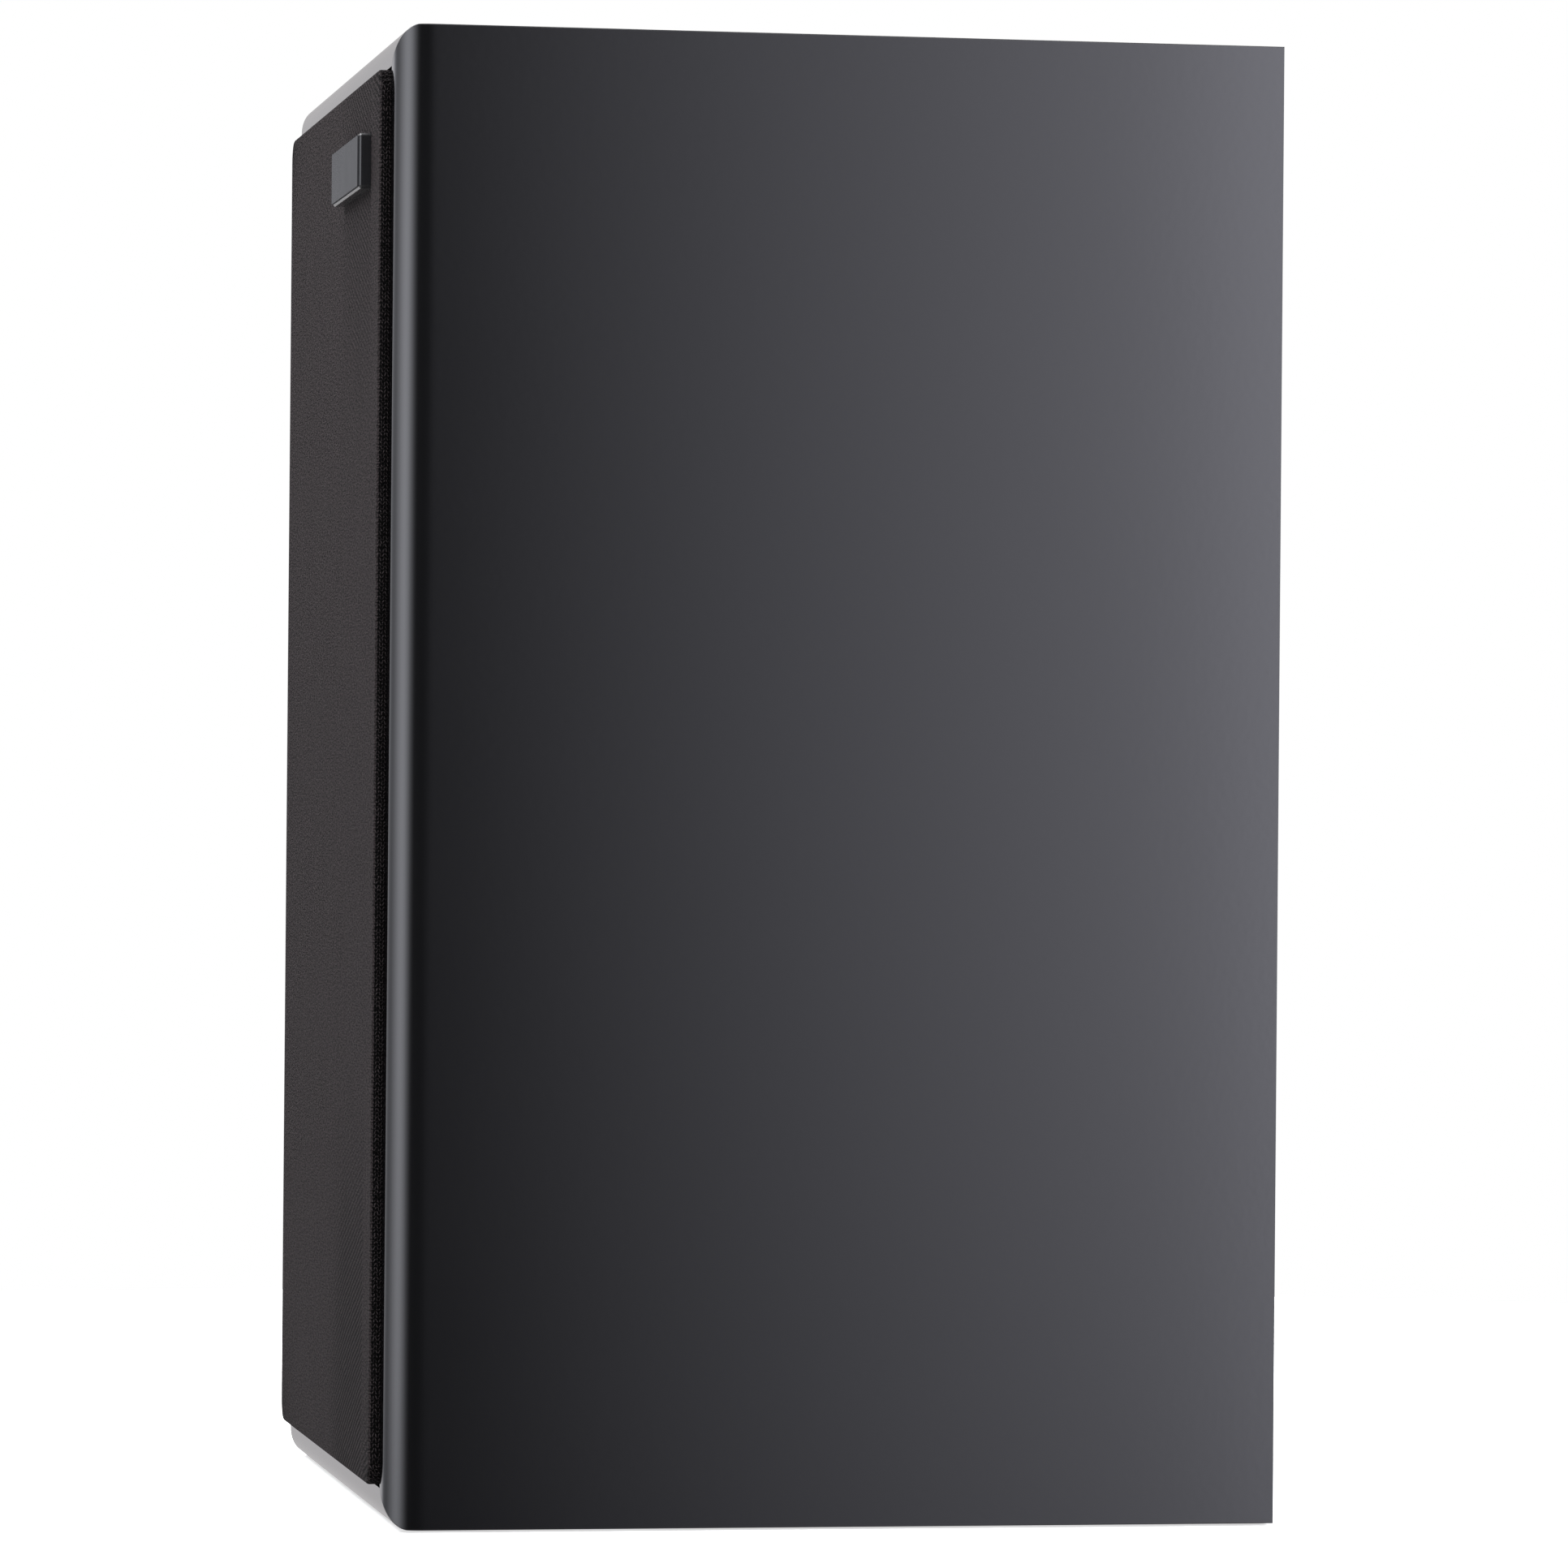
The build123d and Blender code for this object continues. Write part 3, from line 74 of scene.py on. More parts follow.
class Field:
    """A number that changes over a surface; arithmetic on it adds Math nodes."""

    def __init__(self, tree: bpy.types.NodeTree, socket: bpy.types.NodeSocket) -> None:
        """Wrap an output socket of a tree."""
        self.tree = tree
        self.socket = socket

    def _math(self, operation: str, *values: "Field | float", clamp: bool = False) -> "Field":
        """Add one Math node, its result kept between 0 and 1 if asked."""
        node = self.tree.nodes.new("ShaderNodeMath")
        node.operation = operation
        node.use_clamp = clamp
        for socket, value in zip(node.inputs, values):
            if isinstance(value, Field):
                self.tree.links.new(value.socket, socket)
            else:
                socket.default_value = value
        return Field(self.tree, node.outputs[0])

    __add__ = __radd__ = _binary("ADD")
    __sub__, __rsub__ = _binary("SUBTRACT"), _binary("SUBTRACT", swap=True)
    __mul__ = __rmul__ = _binary("MULTIPLY")
    __truediv__ = _binary("DIVIDE")
    __pow__, __rpow__ = _binary("POWER"), _binary("POWER", swap=True)
    least, most = _binary("MINIMUM"), _binary("MAXIMUM")
    sin, root = _unary("SINE"), _unary("SQRT")
    size, fraction = _unary("ABSOLUTE"), _unary("FRACT")

    def angle(self, other: "Field") -> "Field":
        """Angle in turns of the point with this height and the other number as its length."""
        return self._math("ARCTAN2", self, other) / (2.0 * math.pi)

    def clamped(self) -> "Field":
        """Kept between 0 and 1."""
        return self._math("ADD", self, 0.0, clamp=True)

    def ramp(self, low: float, high: float) -> "Field":
        """Smooth step from 0 at low to 1 at high; high may be the smaller."""
        share = self._math("DIVIDE", self - low, high - low, clamp=True)
        return share * share * (3.0 - 2.0 * share)


class Graph:
    """A node tree and the two methods that add to it."""

    prefix = "ShaderNode"

    def __init__(self, tree: bpy.types.NodeTree) -> None:
        """Work on a tree."""
        self.tree = tree

    def node(
        self,
        kind: str,
        settings: dict[str, object] | None = None,
        inputs: dict[str | int, object] | None = None,
    ) -> bpy.types.Node:
        """Add a node: its settings first, then the values or links of its inputs."""
        node = self.tree.nodes.new(kind if "Node" in kind else self.prefix + kind)
        for key, value in (settings or {}).items():
            setattr(node, key, value)
        for key, value in (inputs or {}).items():
            self.feed(node.inputs[key], value)
        return node

    def feed(self, socket: bpy.types.NodeSocket, value: object) -> None:
        """Set or link one input socket."""
        if isinstance(value, Field):
            value = value.socket
        if isinstance(value, bpy.types.NodeSocket):
            self.tree.links.new(value, socket)
        elif isinstance(value, tuple) and socket.type == "RGBA":
            socket.default_value = (*value, 1.0)
        else:
            socket.default_value = value

    def split(self, vector: bpy.types.NodeSocket) -> tuple[Field, Field, Field]:
        """The three numbers of a vector."""
        node = self.node("ShaderNodeSeparateXYZ", inputs={0: vector})
        return tuple(Field(self.tree, out) for out in node.outputs)

    def join(self, *values: Field | float) -> bpy.types.NodeSocket:
        """A vector from three numbers."""
        return self.node("ShaderNodeCombineXYZ", inputs=dict(enumerate(values))).outputs[0]

    def blend(self, factor: Field | float, first: object, second: object) -> bpy.types.NodeSocket:
        """Mix of two colours or sockets: the first at a factor of 0, the second at 1."""
        node = self.node("Mix", {"data_type": "RGBA"})
        colours = [s for s in node.inputs if s.type == "RGBA"]
        self.feed(node.inputs[0], factor)
        self.feed(colours[0], first)
        self.feed(colours[1], second)
        return next(s for s in node.outputs if s.type == "RGBA")


class Paint(Graph):
    """One material: a Principled shader and the methods that put nodes in front of it."""

    def __init__(self, name: str, **constants: float | Colour) -> None:
        """Make the material, with the shader inputs that are the same all over."""
        self.material = bpy.data.materials.new(name)
        self.material.use_nodes = True
        super().__init__(self.material.node_tree)
        self.shader = next(n for n in self.tree.nodes if n.type == "BSDF_PRINCIPLED")
        for key, value in constants.items():
            socket = self.shader.inputs[key.replace("_", " ")]
            socket.default_value = (*value, 1.0) if isinstance(value, tuple) else value

    def drive(self, name: str, value: object) -> None:
        """Feed one of the shader's own inputs."""
        self.feed(self.shader.inputs[name], value)

    def place(self) -> bpy.types.NodeSocket:
        """Position in the frame."""
        return self.node("TexCoord").outputs["Object"]

    def flat(self) -> bpy.types.NodeSocket:
        """Position on the uncut cloth, from the piece's UV map."""
        return self.node("UVMap", {"uv_map": "flat"}).outputs["UV"]

    def stretch(self, vector: bpy.types.NodeSocket, scale: Colour) -> bpy.types.NodeSocket:
        """A vector multiplied number by number."""
        settings = {"operation": "MULTIPLY"}
        return self.node("VectorMath", settings, {0: vector, 1: scale}).outputs[0]

    def noise(
        self, pitch: float, detail: float, vector: bpy.types.NodeSocket | None = None
    ) -> Field:
        """Smooth noise between 0 and 1, read in the frame unless a vector is given."""
        inputs = {"Vector": vector or self.place(), "Scale": 1.0 / pitch, "Detail": detail}
        return Field(self.tree, self.node("TexNoise", inputs=inputs).outputs[0])

    def cells(self, pitch: float) -> bpy.types.Node:
        """A pattern of random cells in the frame."""
        return self.node("TexVoronoi", inputs={"Vector": self.place(), "Scale": 1.0 / pitch})

    def bump(self, height: Field, depth: float, strength: float = 1.0) -> None:
        """Raise the surface by a height field, depth metres for a height of 1."""
        inputs = {"Height": height, "Distance": depth, "Strength": strength}
        self.drive("Normal", self.node("Bump", inputs=inputs).outputs[0])


def shade(colour: Colour, factor: float) -> Colour:
    """A colour made lighter or darker."""
    return tuple(min(1.0, c * factor) for c in colour)


class Recipe(Graph):
    """A Geometry Nodes tree whose named inputs keep the values that they are given here."""

    prefix = "GeometryNode"

    def __init__(self, name: str, **values: float | int | bpy.types.Material) -> None:
        """Make the tree and its inputs, each from its name and value."""
        super().__init__(bpy.data.node_groups.new(name, "GeometryNodeTree"))
        self.values = values
        kinds = {int: "NodeSocketInt", float: "NodeSocketFloat"}
        for key, value in values.items():
            kind = kinds.get(type(value), "NodeSocketMaterial")
            self.tree.interface.new_socket(key, in_out="INPUT", socket_type=kind)
        self.tree.interface.new_socket("mesh", in_out="OUTPUT", socket_type="NodeSocketGeometry")
        self.start = self.node("NodeGroupInput")
        self.end = self.node("NodeGroupOutput")

    def given(self, name: str) -> Field:
        """One of the tree's inputs."""
        return Field(self.tree, self.start.outputs[name])

    def moulded(self, mesh: bpy.types.NodeSocket, *position: Field | float) -> bpy.types.NodeSocket:
        """Move every point of a mesh to a position worked out from its old one."""
        inputs = {"Geometry": mesh, "Position": self.join(*position)}
        return self.node("SetPosition", inputs=inputs).outputs[0]

    def place(self) -> tuple[Field, Field, Field]:
        """Each point's own position."""
        return self.split(self.node("InputPosition").outputs[0])

    def bake(self, result: bpy.types.NodeSocket, place: Matrix) -> bpy.types.Mesh:
        """Evaluate the tree once and keep the plain mesh.

        Args:
            result: The tree's last geometry, already realized.
            place: Where the mesh goes in the frame.

        Returns:
            The mesh.
        """
        self.feed(self.end.inputs[0], result)
        holder = put(self.tree.name, bpy.data.meshes.new("empty"))
        modifier = holder.modifiers.new("recipe", "NODES")
        modifier.node_group = self.tree
        for item in self.tree.interface.items_tree:
            if item.in_out == "INPUT":
                modifier[item.identifier] = self.values[item.name]
        ready = holder.evaluated_get(bpy.context.evaluated_depsgraph_get())
        mesh = bpy.data.meshes.new_from_object(ready)
        bpy.data.objects.remove(holder)
        mesh.transform(place)
        return mesh


# --- finishes
class Grain(Enum):
    """What a plain finish's fine relief follows."""

    CAST = "cast"
    MOULDED = "moulded"
    BRUSHED = "brushed"
    FIBROUS = "fibrous"
    THREADED = "threaded"
    TURNED = "turned"
    WOVEN = "woven"
    SPONGE = "sponge"


@dataclass(frozen=True)
class Finish:
    """A finish with one main colour and one kind of fine relief.

    The pitch and depth of the relief are in millimetres.
    """

    name: str
    colour: Colour
    roughness: float = 0.5
    metallic: float = 0.0
    grain: Grain = Grain.MOULDED
    pitch: float = 0.4
    depth: float = 0.02
    variation: float = 0.12
    specular: float = 0.5
    coat: float = 0.0
    centre: Span = (0.0, 0.0)
    cloud_pitch: float = 18.0 * MM
    grain_share: float = 0.6
    swing: float = 0.3

    def relief(self, paint: Paint) -> Field:
        """The height field of this finish's grain.

        Args:
            paint: The material that gets the nodes.

        Returns:
            A height between 0 and 1.
        """
        x, y, z = paint.split(paint.place())
        pitch, turns = self.pitch * MM, 2.0 * math.pi / (self.pitch * MM)
        if self.grain is Grain.CAST:
            return paint.noise(pitch, 4.0)
        if self.grain is Grain.BRUSHED:
            lines = paint.stretch(paint.place(), (0.04, 1.0, 1.0))
            return paint.noise(pitch, 3.0, lines)
        if self.grain is Grain.FIBROUS:
            fibres = paint.stretch(paint.place(), (1.0, 0.25, 0.12))
            return paint.noise(pitch, 5.0, fibres)
        if self.grain is Grain.THREADED:
            return (y * turns).sin() * 0.5 + 0.5
        if self.grain is Grain.TURNED:
            across, up = x - self.centre[0], z - self.centre[1]
            radius = (across * across + up * up).root()
            return (radius * turns).sin() * 0.5 + 0.5
        if self.grain is Grain.WOVEN:
            warp = (x * turns).sin()
            weft = (z * turns).sin()
            return warp * weft * 0.5 + 0.5
        if self.grain is Grain.SPONGE:
            return Field(paint.tree, paint.cells(pitch).outputs[0])
        return paint.noise(pitch, 2.0)

    def material(self) -> bpy.types.Material:
        """The finish as a material."""
        shine = {"Coat_Weight": self.coat, "Specular_IOR_Level": self.specular}
        paint = Paint(self.name, Metallic=self.metallic, **shine)
        relief = self.relief(paint)
        cloud = paint.noise(self.cloud_pitch, 3.0)
        tone = (relief * self.grain_share + cloud * (1.0 - self.grain_share)).clamped()
        low, high = (shade(self.colour, 1.0 + side * self.variation) for side in (-1.0, 1.0))
        paint.drive("Base Color", paint.blend(tone, low, high))
        rough = cloud * (self.swing * self.roughness) + (1.0 - self.swing / 2) * self.roughness
        paint.drive("Roughness", rough)
        paint.bump(relief, self.depth * MM)
        return paint.material

    def dress(self, *nodes: str) -> None:
        """Put the finish on CAD nodes."""
        material = self.material()
        for name in nodes:
            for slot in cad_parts[name].material_slots:
                slot.material = material
        log.info("%s on %s", self.name, ", ".join(nodes))


@dataclass(frozen=True)
class Lacquer:
    """Satin black polyurethane over the veneered boards, with a hairline at each mitre."""

    name: str = "satin_black_lacquer"
    colour: Colour = (0.0008, 0.0008, 0.0009)
    roughness: float = 0.085
    peel_pitch: float = 1.6 * MM
    peel_depth: float = 0.0012 * MM
    mitre_width: float = 0.16 * MM
    speck_pitch: float = 9.0 * MM
    speck_radius: float = 0.16 * MM
    speck_edge: float = 0.004
    speck_share: Span = (0.62, 0.66)
    dust: Colour = (0.22, 0.22, 0.23)
    hairline: Colour = (0.001, 0.001, 0.001)
    cloud_pitch: float = 60.0 * MM
    variation: float = 0.1
    swing: float = 0.02
    dullness: float = 0.3
    mitre_depth: float = 30.0

    def material(self, half_width: float, height: float) -> bpy.types.Material:
        """The finish as a material.

        Args:
            half_width: Half the cabinet's width, where the mitres start.
            height: The cabinet's height.

        Returns:
            The material.
        """
        paint = Paint(self.name, Specular_IOR_Level=0.5)
        x, _, z = paint.split(paint.place())
        from_side = half_width - x.size()
        from_end = height / 2 - (z - height / 2).size()
        mitre = (from_side - from_end).size().ramp(self.mitre_width, 0.3 * self.mitre_width)
        cells = paint.cells(self.speck_pitch)
        distance = Field(paint.tree, cells.outputs["Distance"])
        chance = paint.split(cells.outputs["Color"])[0]
        radius = chance * (self.speck_radius / self.speck_pitch)
        speck = (distance - radius).ramp(self.speck_edge, 0.0) * chance.ramp(*self.speck_share)
        cloud = paint.noise(self.cloud_pitch, 2.0)
        low, high = (shade(self.colour, 1.0 + side * self.variation) for side in (-1.0, 1.0))
        dusted = paint.blend(speck, paint.blend(cloud, low, high), self.dust)
        paint.drive("Base Color", paint.blend(mitre, dusted, self.hairline))
        rough = cloud * self.swing + (self.roughness - self.swing / 2)
        paint.drive("Roughness", rough + speck * self.dullness + mitre * self.dullness)
        paint.bump(paint.noise(self.peel_pitch, 1.0) - mitre * self.mitre_depth, self.peel_depth)
        return paint.material


@dataclass(frozen=True)
class Knit:
    """Stretched acoustic jersey: V-shaped loops, in rows that open near the +X side's corners.

    Wander, drift and wave are each a noise's pitch and its strength.
    The gaps between the loops and the grooves of the open rows are darkened with painted shade.
    """

    name: str = "grille_jersey"
    yarn: Colour = (0.0240, 0.0197, 0.0199)
    wale: float = 1.2 * MM
    course: float = 1.4 * MM
    row_pitch: float = 1.75 * MM
    loops_a_course: float = 1.3
    leg_width: float = 0.105
    leg_lean: float = 0.28
    wander: Span = (1.4 * MM, 0.45)
    drift: Span = (1.1 * MM, 0.7)
    wave: Span = (12.0 * MM, 0.7)
    strand_pitch: float = 0.5 * MM
    strand_breaks: Span = (0.36, 0.58)
    # Painted shade: the share of the yarn colour left in the gaps between loops, on the front and
    # on the bent wall
    gap_shade: float = 0.5
    wall_gap_shade: float = 0.03
    depth: float = 0.16 * MM
    row_rise: float = 46.0 * MM
    row_reach: float = 88.0 * MM
    row_height: float = 200.0 * MM
    curl: float = 5.0 * MM
    curl_reach: float = 10.0 * MM
    bend: Span = (0.1 * MM, 0.55 * MM)
    groove: Span = (0.3, 0.95)
    open_border: Span = (-1.0 * MM, 2.5 * MM)
    open_side: Span = (80.0 * MM, 40.0 * MM)
    open_end: Span = (90.0 * MM, 20.0 * MM)
    open_half: Span = (-10.0 * MM, 20.0 * MM)
    open_below: Span = (30.0 * MM, -30.0 * MM)
    slub_pitch: float = 0.34 * MM
    slub_length: float = 0.17
    fluff_pitch: float = 0.2 * MM
    cloud_pitch: float = 16.0 * MM
    plain: float = 0.78
    darkest: float = 0.1
    headroom: float = 0.7

    def sway(self, paint: Paint, span: Span) -> Field:
        """Noise about zero on the flat cloth, from its pitch and its strength."""
        return (paint.noise(span[0], 1.0, paint.flat()) - 0.5) * span[1]

    def loops(self, paint: Paint, u: Field, v: Field) -> Field:
        """Height of the V-shaped loops.

        Args:
            paint: The material that gets the nodes.
            u: Distance across the columns.
            v: Distance along the columns.

        Returns:
            A height between 0 and 1.
        """
        side = ((u / self.wale + self.sway(paint, self.wander)).fraction() - 0.5).size()
        row = (v / self.course + self.sway(paint, self.drift)).fraction() - 0.5
        across = (side - 0.25 - row * self.leg_lean) / self.leg_width
        along = (row.size() * 2.0) ** 4.0
        whole = paint.noise(self.strand_pitch, 1.0, paint.flat()).ramp(*self.strand_breaks)
        strand = whole * 0.9 + 0.25
        return (1.0 - across * across).clamped().root() * (1.0 - along * 0.9).clamped() * strand

    def material(self, low: Vector, high: Vector, border: float) -> bpy.types.Material:
        """The finish as a material.

        Args:
            low: Lowest corner of the stretched cloth.
            high: Its highest corner.
            border: Width of the frame behind the cloth's edge.

        Returns:
            The material.
        """
        paint = Paint(self.name, Roughness=0.85, Specular_IOR_Level=0.045)
        u, v, _ = paint.split(paint.flat())
        middle, half_height = (low.z + high.z) / 2, (high.z - low.z) / 2
        from_side = (high.x - u.size()).most(0.0)
        from_end = (half_height - (v - middle).size()).most(0.0)
        near = (1.0 - from_side / self.row_reach).clamped()
        near = near * (1.0 - from_end / self.row_height).clamped()
        tight = EULER ** ((from_side + from_end) / -self.curl_reach)
        along = (v - middle).size() + near * self.row_rise - tight * self.curl
        height = self.loops(paint, u, along * self.loops_a_course)
        _, y, _ = paint.split(paint.place())
        bent = y.ramp(*(low.y + part for part in self.bend))
        waved = along / self.row_pitch + self.sway(paint, self.wave)
        rows = (waved.fraction() - 0.5).size() * 2.0
        groove = rows.ramp(*self.groove) * (1.0 - bent)
        opened = (
            from_side.ramp(*(border + part for part in self.open_border))
            * from_side.ramp(*self.open_side)
            * from_end.ramp(*self.open_end)
            * u.ramp(*self.open_half)
            * ((v - middle).ramp(*self.open_below) * 0.5 + 0.5)
        )
        # Painted shade: the grooves of the open rows are darkened in the colour, and the same mask
        # sinks them in the bump
        pulled_groove_shade = opened.most(tight * 1.5 * from_side.ramp(0.0, 2.0 * MM)).clamped() * groove
        drawn = paint.stretch(paint.flat(), (self.slub_length, 1.0, 1.0))
        slub = paint.noise(self.slub_pitch, 1.0, drawn)
        fluff = paint.noise(self.fluff_pitch, 2.0, paint.flat())
        cloud = paint.noise(self.cloud_pitch, 3.0, paint.flat())
        mottle = (slub.ramp(0.25, 0.75) - 0.5) * (1.0 - opened * 0.55)
        light = mottle * 1.8 + cloud * 0.22 + fluff * 0.3 + self.plain + opened * 0.25 - pulled_groove_shade * 2.0
        # Painted shade: the gaps between the loops are darkened, to near black on the bent wall at
        # the side
        floor = bent * (self.wall_gap_shade - self.gap_shade) + self.gap_shade
        loop_shading = height * (1.0 - floor) + floor
        tone = light.most(self.darkest) * loop_shading * self.headroom
        paint.drive("Base Color", paint.blend(tone, (0.0, 0.0, 0.0), shade(self.yarn, 1.43)))
        paint.bump(height + fluff * 0.25 - pulled_groove_shade * 0.8, self.depth, 0.7)
        return paint.material


def put(name: str, data: bpy.types.ID) -> bpy.types.Object:
    """A new object in the scene."""
    made = bpy.data.objects.new(name, data)
    bpy.context.scene.collection.objects.link(made)
    return made


def piece(name: str, mesh: bpy.types.Mesh, material: bpy.types.Material) -> bpy.types.Object:
    """Add a finished mesh, in the frame's metres, to the scene."""
    mesh.materials.clear()
    mesh.materials.append(material)
    made = put(name, mesh)
    log.info("piece %s: %d faces", name, len(mesh.polygons))
    return made


def mesh_from(name: str, points: np.ndarray, faces: list[tuple[int, ...]]) -> bpy.types.Mesh:
    """A smooth-shaded mesh from rows of x, y, z and each face's vertex numbers."""
    mesh = bpy.data.meshes.new(name)
    mesh.from_pydata([tuple(p) for p in points], [], faces)
    mesh.shade_smooth()
    mesh.update()
    return mesh


# --- cabinet
@dataclass
class Cabinet:
    """The mitred wrap, the baffle, the rear panel and what is glued inside."""

    wrap: Lacquer = field(default_factory=Lacquer)
    edge_spread: float = 7.5 * MM
    edge_depth: float = 5.1 * MM
    edge_steps: int = 32
    easing: float = 4.5 * MM
    eased_turn: float = 3.0
    easing_steps: int = 12
    wall: float = 8.0 * MM
    rear: Finish = Finish("rear_panel_paint", (0.012, 0.012, 0.013), 0.42, pitch=0.9, depth=0.012)
    baffle: Finish = Finish("baffle_paint", (0.013, 0.013, 0.014), 0.55, pitch=0.6, depth=0.02)
    wood: Finish = Finish(
        "raw_fibreboard", (0.36, 0.23, 0.13), 0.8, 0.0, Grain.FIBROUS, 0.8, 0.04, variation=0.3
    )
    foam: Finish = Finish(
        "lining_foam", (0.06, 0.06, 0.065), 0.95, 0.0, Grain.SPONGE, 1.4, 0.6, variation=0.5
    )
    bitumen: Finish = Finish("bitumen_sheet", (0.02, 0.02, 0.02), 0.7, 0.0, Grain.CAST, 3.0, 0.1)
    gasket: Finish = Finish("gasket_foam", (0.03, 0.03, 0.03), 0.9, 0.0, Grain.SPONGE, 0.5, 0.1)

    def profile(self, front: float, back: float) -> list[tuple[float, float]]:
        """Section of a board, once round from the back of its outer face.

        The face eases a little before the quarter ellipse of the rounded edge begins.

        Args:
            front: The board's front plane.
            back: Its back plane.

        Returns:
            Distance outwards from the outer face, and y, of each point.
        """
        slope = math.radians(self.eased_turn)
        first = math.atan(self.edge_depth / self.edge_spread * math.tan(slope))
        shoulder = front + self.edge_depth * (1.0 - math.sin(first))
        eased = [
            (-slope * self.easing / 4 * s**4, shoulder + self.easing * (1.0 - s))
            for s in np.linspace(0.0, 1.0, self.easing_steps + 1)[:-1]
        ]
        spread = (self.edge_spread - slope * self.easing / 4) / math.cos(first)
        edge = [
            (spread * math.cos(t) - self.edge_spread, front + self.edge_depth * (1.0 - math.sin(t)))
            for t in np.linspace(first, math.pi / 2, self.edge_steps + 1)
        ]
        inner = [(-self.wall, front), (-self.wall, back)]
        return [(0.0, back), (0.0, shoulder + 2.0 * self.easing), *eased, *edge, *inner]

    def board(self, name: str, material: bpy.types.Material) -> None:
        """One mitred board with its rounded front edge.

        Args:
            name: The board's node, replaced by the mesh.
            material: Its lacquer.
        """
        wide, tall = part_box("cabinet_top")[1].x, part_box("cabinet_top")[1].z
        low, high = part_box(name)
        flat = high.x - low.x > high.z - low.z
        half = wide if flat else tall / 2
        facing = 1.0 if (low.z if flat else low.x) > 0.0 else -1.0
        section = self.profile(low.y, high.y)
        points = []
        for end in (-1.0, 1.0):
            for out, y in section:
                along = end * (half + out)
                place = (along, y, tall / 2 + facing * (tall / 2 + out))
                points.append(place if flat else (facing * (wide + out), y, tall / 2 + along))
        count = len(section)
        faces = [(i, (i + 1) % count, count + (i + 1) % count, count + i) for i in range(count)]
        faces += [tuple(range(count)), tuple(range(count, 2 * count))]
        bm = bmesh.new()
        bm.from_mesh(mesh_from(name, np.array(points), faces))
        bmesh.ops.recalc_face_normals(bm, faces=bm.faces)
        bmesh.ops.triangulate(bm, faces=[f for f in bm.faces if len(f.verts) > 4])
        mesh = bpy.data.meshes.new(f"{name}_lacquered")
        bm.to_mesh(mesh)
        bm.free()
        mesh.shade_smooth()
        mesh.set_sharp_from_angle(angle=math.radians(20.0))
        made = piece(f"{name}_lacquered", mesh, material)
        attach(made, "cabinet")
        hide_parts(name)

    def build(self) -> None:
        """Make the boards and dress the rest of the cabinet."""
        _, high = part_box("cabinet_top")
        lacquer = self.wrap.material(high.x, high.z)
        for side in ("top", "bottom", "side_left", "side_right"):
            self.board(f"cabinet_{side}", lacquer)
        self.rear.dress("rear_panel")
        self.baffle.dress("front_baffle")
        self.wood.dress("front_battens", "rear_battens")
        self.foam.dress("foam_lining")
        self.bitumen.dress("damping_sheets")
        self.gasket.dress("rear_gasket")


